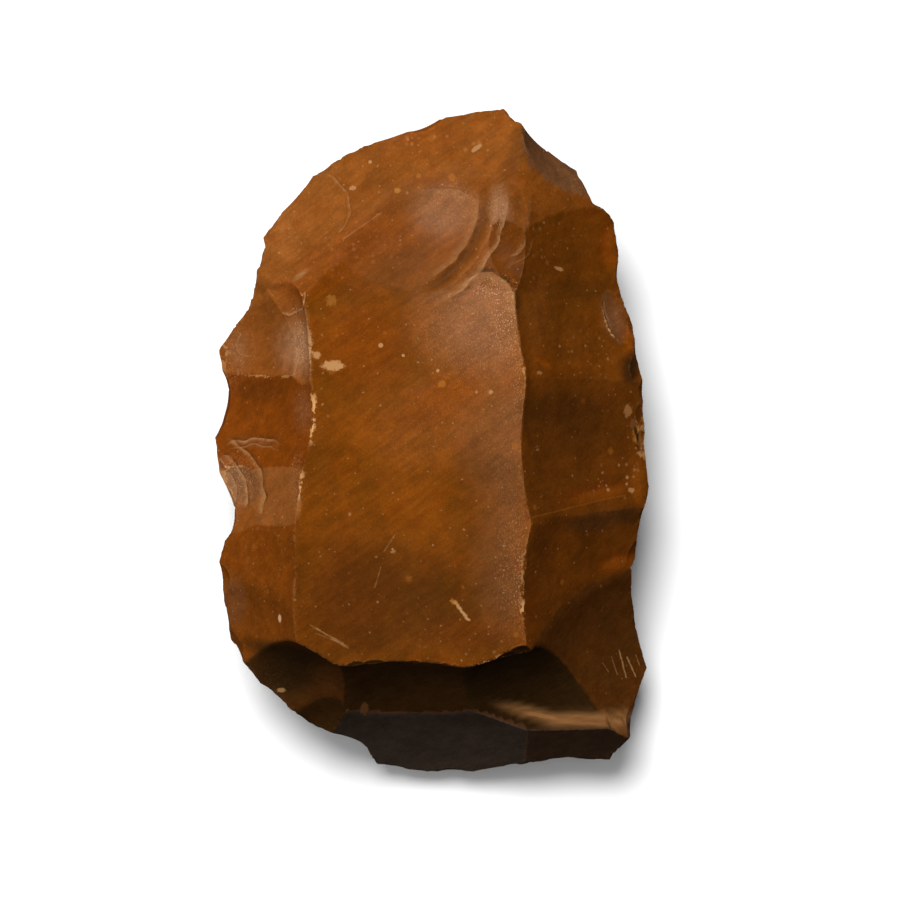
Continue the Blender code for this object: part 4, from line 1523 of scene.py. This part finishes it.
CRESTS = [
    Crests((384, 197), -31, 33, [(16.0, 1.4, 1.1, 0.20, 0.50), (20.5, 1.0, 1.3, 0.42, 0.40),
                                 (18.7, 0.8, 0.5, 0.10, 0.12)]),
    Crests((384, 197), -22, 16, [(24.2, 0.9, 0.8, 0.35, 0.35), (22.9, 0.5, 0.4, 0.15, 0.15)]),
    Crests((440, 262), 82, 28, [(11.7, 1.8, 0.5, 0.22, 0.15)]),
    Crests((500, 236), -40, 34, [(4.4, 0.6, 0.5, 0.28, 0.40), (5.6, 0.4, 0.3, 0.20, 0.35)]),
    Crests((484, 306), 52, 74, [(5.0, 2.2, 1.4, 0.25, 0.50)]),
    Crests((500, 400), 118, 16, [(20.6, 2.4, 1.0, 0.14, 0.18)]),
    Crests((212, 492), 24, 50, [(4.4, 0.9, 0.5, 0.22, 0.30), (6.3, 0.8, 0.7, 0.40, 0.50),
                                (9.1, 1.0, 0.8, 0.42, 0.50)]),
    Crests((258, 500), 92, 30, [(10.3, 0.5, 0.8, 0.50, 0.50), (9.3, 0.3, 0.4, 0.28, 0.40)]),
    Crests((222, 352), 0, 26, [(13.2, 1.2, 0.3, 0.30, 0.20)]),
    Crests((290, 300), -46, 66, [(2.9, 0.4, 0.5, 0.60, 0.30)]),
    Crests((315, 212), 14, 60, [(6.0, 0.5, 0.5, 0.28, 0.25)]),
    Crests((250, 345), -150, 80, [(2.2, 0.5, 0.5, 0.20, 0.25)]),
    Crests((641, 309), 189, 30, [(6.2, 0.5, 0.5, 0.45, 0.60)]),
]
above = painted("upper_side")
for arcs in CRESTS:
    least = math.cos(math.radians(arcs.spread))
    around = place_group(tree, polar, Place=place, Eye=plan(arcs.eye) / MM,
                         Heading=compass(arcs.heading), Least=least)
    shown = sum_up(tree, "MULTIPLY", around["Shown"], above)
    for at, climb, drop, light, shade in arcs.table:
        line = place_group(tree, crest, Radius=around["Radius"], At=at, Climb=climb, Drop=drop)
        # The pale crest is a painted highlight, and the dark foot behind it is painted shade.
        lit = sum_up(tree, "MULTIPLY", line["Lit"], shown)
        colour = mix_colours(tree, sum_up(tree, "MULTIPLY", lit, light), colour, CREAM)
        shaded = sum_up(tree, "MULTIPLY", line["Shaded"], shown)
        colour = mix_colours(tree, sum_up(tree, "MULTIPLY", shaded, shade), colour, DARK_BROWN)
print(sum(len(arcs.table) for arcs in CRESTS), "crest_highlight")

# %% Its blots and fossil spots, and two painted glints
# The middle and half the size in squares of the pattern, how ragged, how strong, the colour and
# how many degrees it is turned anticlockwise
Mark = namedtuple("Mark", "at half ragged strength colour turn", defaults=(0,))

MARKS = [
    Mark((335, 367), (12, 5.5), 1.2, 0.9, CHALK), Mark((319, 357), (4.5, 4), 1.0, 0.8, CHALK),
    Mark((476, 152), (7, 2.6), 1.0, 0.6, CREAM, 38),
    Mark((354, 191), (3.2, 2.8), 1.8, 0.6, CREAM),
    Mark((371, 165), (2, 2), 0.5, 0.7, CHALK), Mark((398, 194), (3.5, 3.0), 0.8, 0.8, YELLOW),
    Mark((452, 181), (4, 4), 0.8, 0.7, ORANGE), Mark((419, 179), (3, 3), 0.8, 0.7, ORANGE),
    Mark((333, 303), (5, 6), 1.8, 0.45, YELLOW), Mark((442, 385), (4.5, 4.0), 0.8, 0.8, ORANGE),
    Mark((438, 372), (1.8, 1.8), 0.4, 0.8, CREAM), Mark((490, 393), (2.4, 2.2), 1.2, 0.6, CREAM),
    Mark((476, 393), (1.6, 1.4), 1.2, 0.5, CREAM), Mark((382, 347), (2.6, 2.6), 0.6, 0.8, CREAM),
    # The spark-coloured mark at (282, 616) is a painted glint.
    Mark((404, 357), (1.7, 1.7), 0.4, 0.8, CREAM), Mark((282, 616), (1.8, 4.2), 1.0, 0.9, SPARK),
    Mark((538, 374), (3, 2), 1.4, 0.5, CREAM), Mark((630, 490), (3.4, 3), 1.8, 0.6, CREAM),
    # The pale mark at (282, 689) is a painted highlight on a small facet.
    Mark((365, 707), (4, 8), 1.8, 0.5, CRUST_BROWN), Mark((282, 689), (5, 2.4), 1.0, 0.5, RUBBED),
    Mark((540, 714), (20, 2.4), 0.8, 0.5, CRUST_TAN, -11),
    Mark((627, 411), (4.5, 7), 2.0, 0.5, CRUST_TAN), Mark((636, 434), (5, 11), 1.6, 0.5, YELLOW),
    Mark((635, 432), (2.0, 11), 1.2, 0.9, DARK_BROWN, 14),
    Mark((632, 424), (4, 6), 1.8, 0.5, CRUST_BROWN),
    Mark((640, 453), (5, 2.4), 1.4, 0.5, CRUST_TAN),
    Mark((558, 271), (5, 2), 1.2, 0.5, RUBBED, -20),
]

for spot in MARKS:
    half = (spot.half[0] / SQUARES_PER_MM, spot.half[1] / SQUARES_PER_MM, 1.0)
    mask = place_group(tree, mark, Place=place, Middle=plan(spot.at) / MM, Half=half,
                       Turn=-math.radians(spot.turn), Ragged=spot.ragged)["Mask"]
    mask = sum_up(tree, "MULTIPLY", sum_up(tree, "MULTIPLY", mask, above), spot.strength)
    colour = mix_colours(tree, mask, colour, spot.colour)
print(len(MARKS), "marks")

# %% Its scratches, and a painted highlight along one ridge
# Where each starts and ends, its width in mm, how strong it is and its colour
SCRATCHES = [
    ((455, 600), (468, 617), 0.42, 0.8, CREAM), ((396, 533), (385, 550), 0.16, 0.22, CREAM),
    ((382, 565), (376, 585), 0.16, 0.22, CREAM), ((318, 625), (350, 645), 0.25, 0.3, CREAM),
    ((602, 662), (608, 671), 0.12, 0.22, RUBBED), ((611, 656), (617, 674), 0.12, 0.25, RUBBED),
    ((619, 650), (626, 677), 0.22, 0.40, RUBBED), ((627, 657), (636, 677), 0.20, 0.40, RUBBED),
    ((636, 655), (640, 666), 0.12, 0.30, RUBBED), ((313, 622), (345, 640), 0.16, 0.25, CREAM),
    ((318, 630), (350, 643), 0.14, 0.20, CREAM), ((451, 598), (456, 601), 0.5, 0.7, YELLOW),
    # The two orange lines from (531, 516) to (624, 495) are a painted highlight along a ridge.
    ((345, 242), (382, 216), 0.16, 0.25, CREAM), ((531, 516), (602, 499), 0.18, 0.28, ORANGE),
    ((602, 499), (624, 495), 0.18, 0.28, ORANGE),
]

for start, end, width, strength, line_colour in SCRATCHES:
    mask = place_group(tree, scratch, Place=place, Start=plan(start) / MM, End=plan(end) / MM,
                       Width=width)["Mask"]
    mask = sum_up(tree, "MULTIPLY", sum_up(tree, "MULTIPLY", mask, above), strength)
    colour = mix_colours(tree, mask, colour, line_colour)
tree.links.new(colour, shader.inputs["Base Color"])
print(len(SCRATCHES), "scratches")

# %% [markdown]
# ## Gloss
#
# Flint is glassy inside, but an old weathered break is only softly glossy. A strong mirror over
# the whole stone would wash the brown out to grey. So the shader's own mirror is turned down to
# almost nothing, and a thin rough coat lies only where the sheen is painted. The grain goes in as
# a bump, much too low to see in the outline.

# %% Gloss and grain
MIRROR = 0.012              # the share of the usual mirror strength
COAT_ROUGHNESS = 0.35
COAT_MOST = 0.07
GRAIN_DEPTH = 0.00006       # metres
gloss = rise(tree, stone_clouds["Mottle"], 0.0, 1.0, 0.32, 0.40)
gloss = sum_up(tree, "ADD", gloss, sum_up(tree, "MULTIPLY", worn, 0.2))
tree.links.new(gloss, shader.inputs["Roughness"])
shader.inputs["Specular IOR Level"].default_value = MIRROR
shader.inputs["Coat Roughness"].default_value = COAT_ROUGHNESS
coat = sum_up(tree, "MULTIPLY", painted("sheen"), COAT_MOST)
tree.links.new(coat, shader.inputs["Coat Weight"])
bump = add(tree, "Bump", {}, Strength=0.7, Distance=GRAIN_DEPTH, Height=fresh["Height"])
tree.links.new(bump.outputs[0], shader.inputs["Normal"])
mesh.materials.append(flint)
print("honey_flint has", len(tree.nodes), "nodes")

# %% [markdown]
# ## Floor and light
#
# The stone lies on a plain pale floor. One big soft lamp stands up and to the left, so the
# shadow falls to the right and below, and the room around is dark, which keeps the brown deep
# and the far sides of the stone nearly black, together with the shade painted on them. A pale
# floor would throw light back up at those sides. Here it is kept out of what the stone's surface
# sees.

# %% The floor
FLOOR_HALF = 3.0
floor_mesh = bpy.data.meshes.new("floor")
floor_mesh.from_pydata([(-FLOOR_HALF, -FLOOR_HALF, 0), (FLOOR_HALF, -FLOOR_HALF, 0),
                        (FLOOR_HALF, FLOOR_HALF, 0), (-FLOOR_HALF, FLOOR_HALF, 0)],
                       [], [(0, 1, 2, 3)])
floor = bpy.data.objects.new("floor", floor_mesh)
floor.location.z = -0.0001
bpy.context.scene.collection.objects.link(floor)
floor.visible_diffuse = False
floor.visible_glossy = False
paper = bpy.data.materials.new("pale_floor")
paper.use_nodes = True
paper_shader = paper.node_tree.nodes["Principled BSDF"]
paper_shader.inputs["Base Color"].default_value = (0.9, 0.9, 0.9, 1.0)
paper_shader.inputs["Roughness"].default_value = 0.9
floor_mesh.materials.append(paper)
print(f"The floor is {2 * FLOOR_HALF:.0f} m across")

# %% The lamps and the dark room
# A lamp: the compass angle it comes from, its tilt from straight above and how wide it looks from
# the stone, in degrees, and its strength
Lamp = namedtuple("Lamp", "name comes_from tilt wide strength mirrored")

LAMPS = [
    Lamp("soft_lamp", 108.0, 33.0, 34.0, 4.0, True),
    Lamp("side_panel", 180.0, 30.0, 100.0, 1.3, False),
]
ROOM = 0.05

for lamp in LAMPS:
    lamp_data = bpy.data.lights.new(lamp.name, "SUN")
    lamp_data.energy = lamp.strength
    lamp_data.angle = math.radians(lamp.wide)
    light = bpy.data.objects.new(lamp.name, lamp_data)
    tilt = math.radians(lamp.tilt)
    towards = compass(lamp.comes_from) * math.sin(tilt) + UP * math.cos(tilt)
    light.rotation_mode = "QUATERNION"
    light.rotation_quaternion = Vector(towards).to_track_quat("Z", "Y")
    light.visible_glossy = lamp.mirrored
    bpy.context.scene.collection.objects.link(light)
room = bpy.data.worlds.new("dark_room")
room.use_nodes = True
room.node_tree.nodes["Background"].inputs["Color"].default_value = (1.0, 1.0, 1.0, 1.0)
room.node_tree.nodes["Background"].inputs["Strength"].default_value = ROOM
bpy.context.scene.world = room
bpy.context.scene.view_settings.view_transform = "Standard"
print(len(LAMPS), "lamps")

# %% [markdown]
# ## The camera
#
# Small finds are photographed from straight above and from far off with a long lens, so that the
# near ridges aren't drawn larger than the rim. An orthographic camera would have no perspective
# at all, but a long lens from 1.2 metres is still a real lens.

# %% The camera, straight above
PICTURE_MIDDLE = (450, 450)     # the picture's middle, on the pattern
PICTURE_SQUARES = 900.0
CAMERA_HEIGHT = 1.2
FOCUS_HEIGHT = 0.3 * THICKNESS

camera_data = bpy.data.cameras.new("camera")
camera = bpy.data.objects.new("camera", camera_data)
camera.location = plan(PICTURE_MIDDLE) + UP * CAMERA_HEIGHT
view_width = PICTURE_SQUARES / SQUARES_PER_MM * MM
camera_data.lens = camera_data.sensor_width * (CAMERA_HEIGHT - FOCUS_HEIGHT) / view_width
camera_data.clip_start, camera_data.clip_end = 0.05, 20.0
bpy.context.scene.collection.objects.link(camera)
bpy.context.scene.camera = camera
print(f"The lens is {camera_data.lens:.0f} mm")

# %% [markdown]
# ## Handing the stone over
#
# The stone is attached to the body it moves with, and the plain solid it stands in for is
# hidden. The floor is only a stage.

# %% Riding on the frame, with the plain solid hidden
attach(stone, "root")
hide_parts("flint_core")
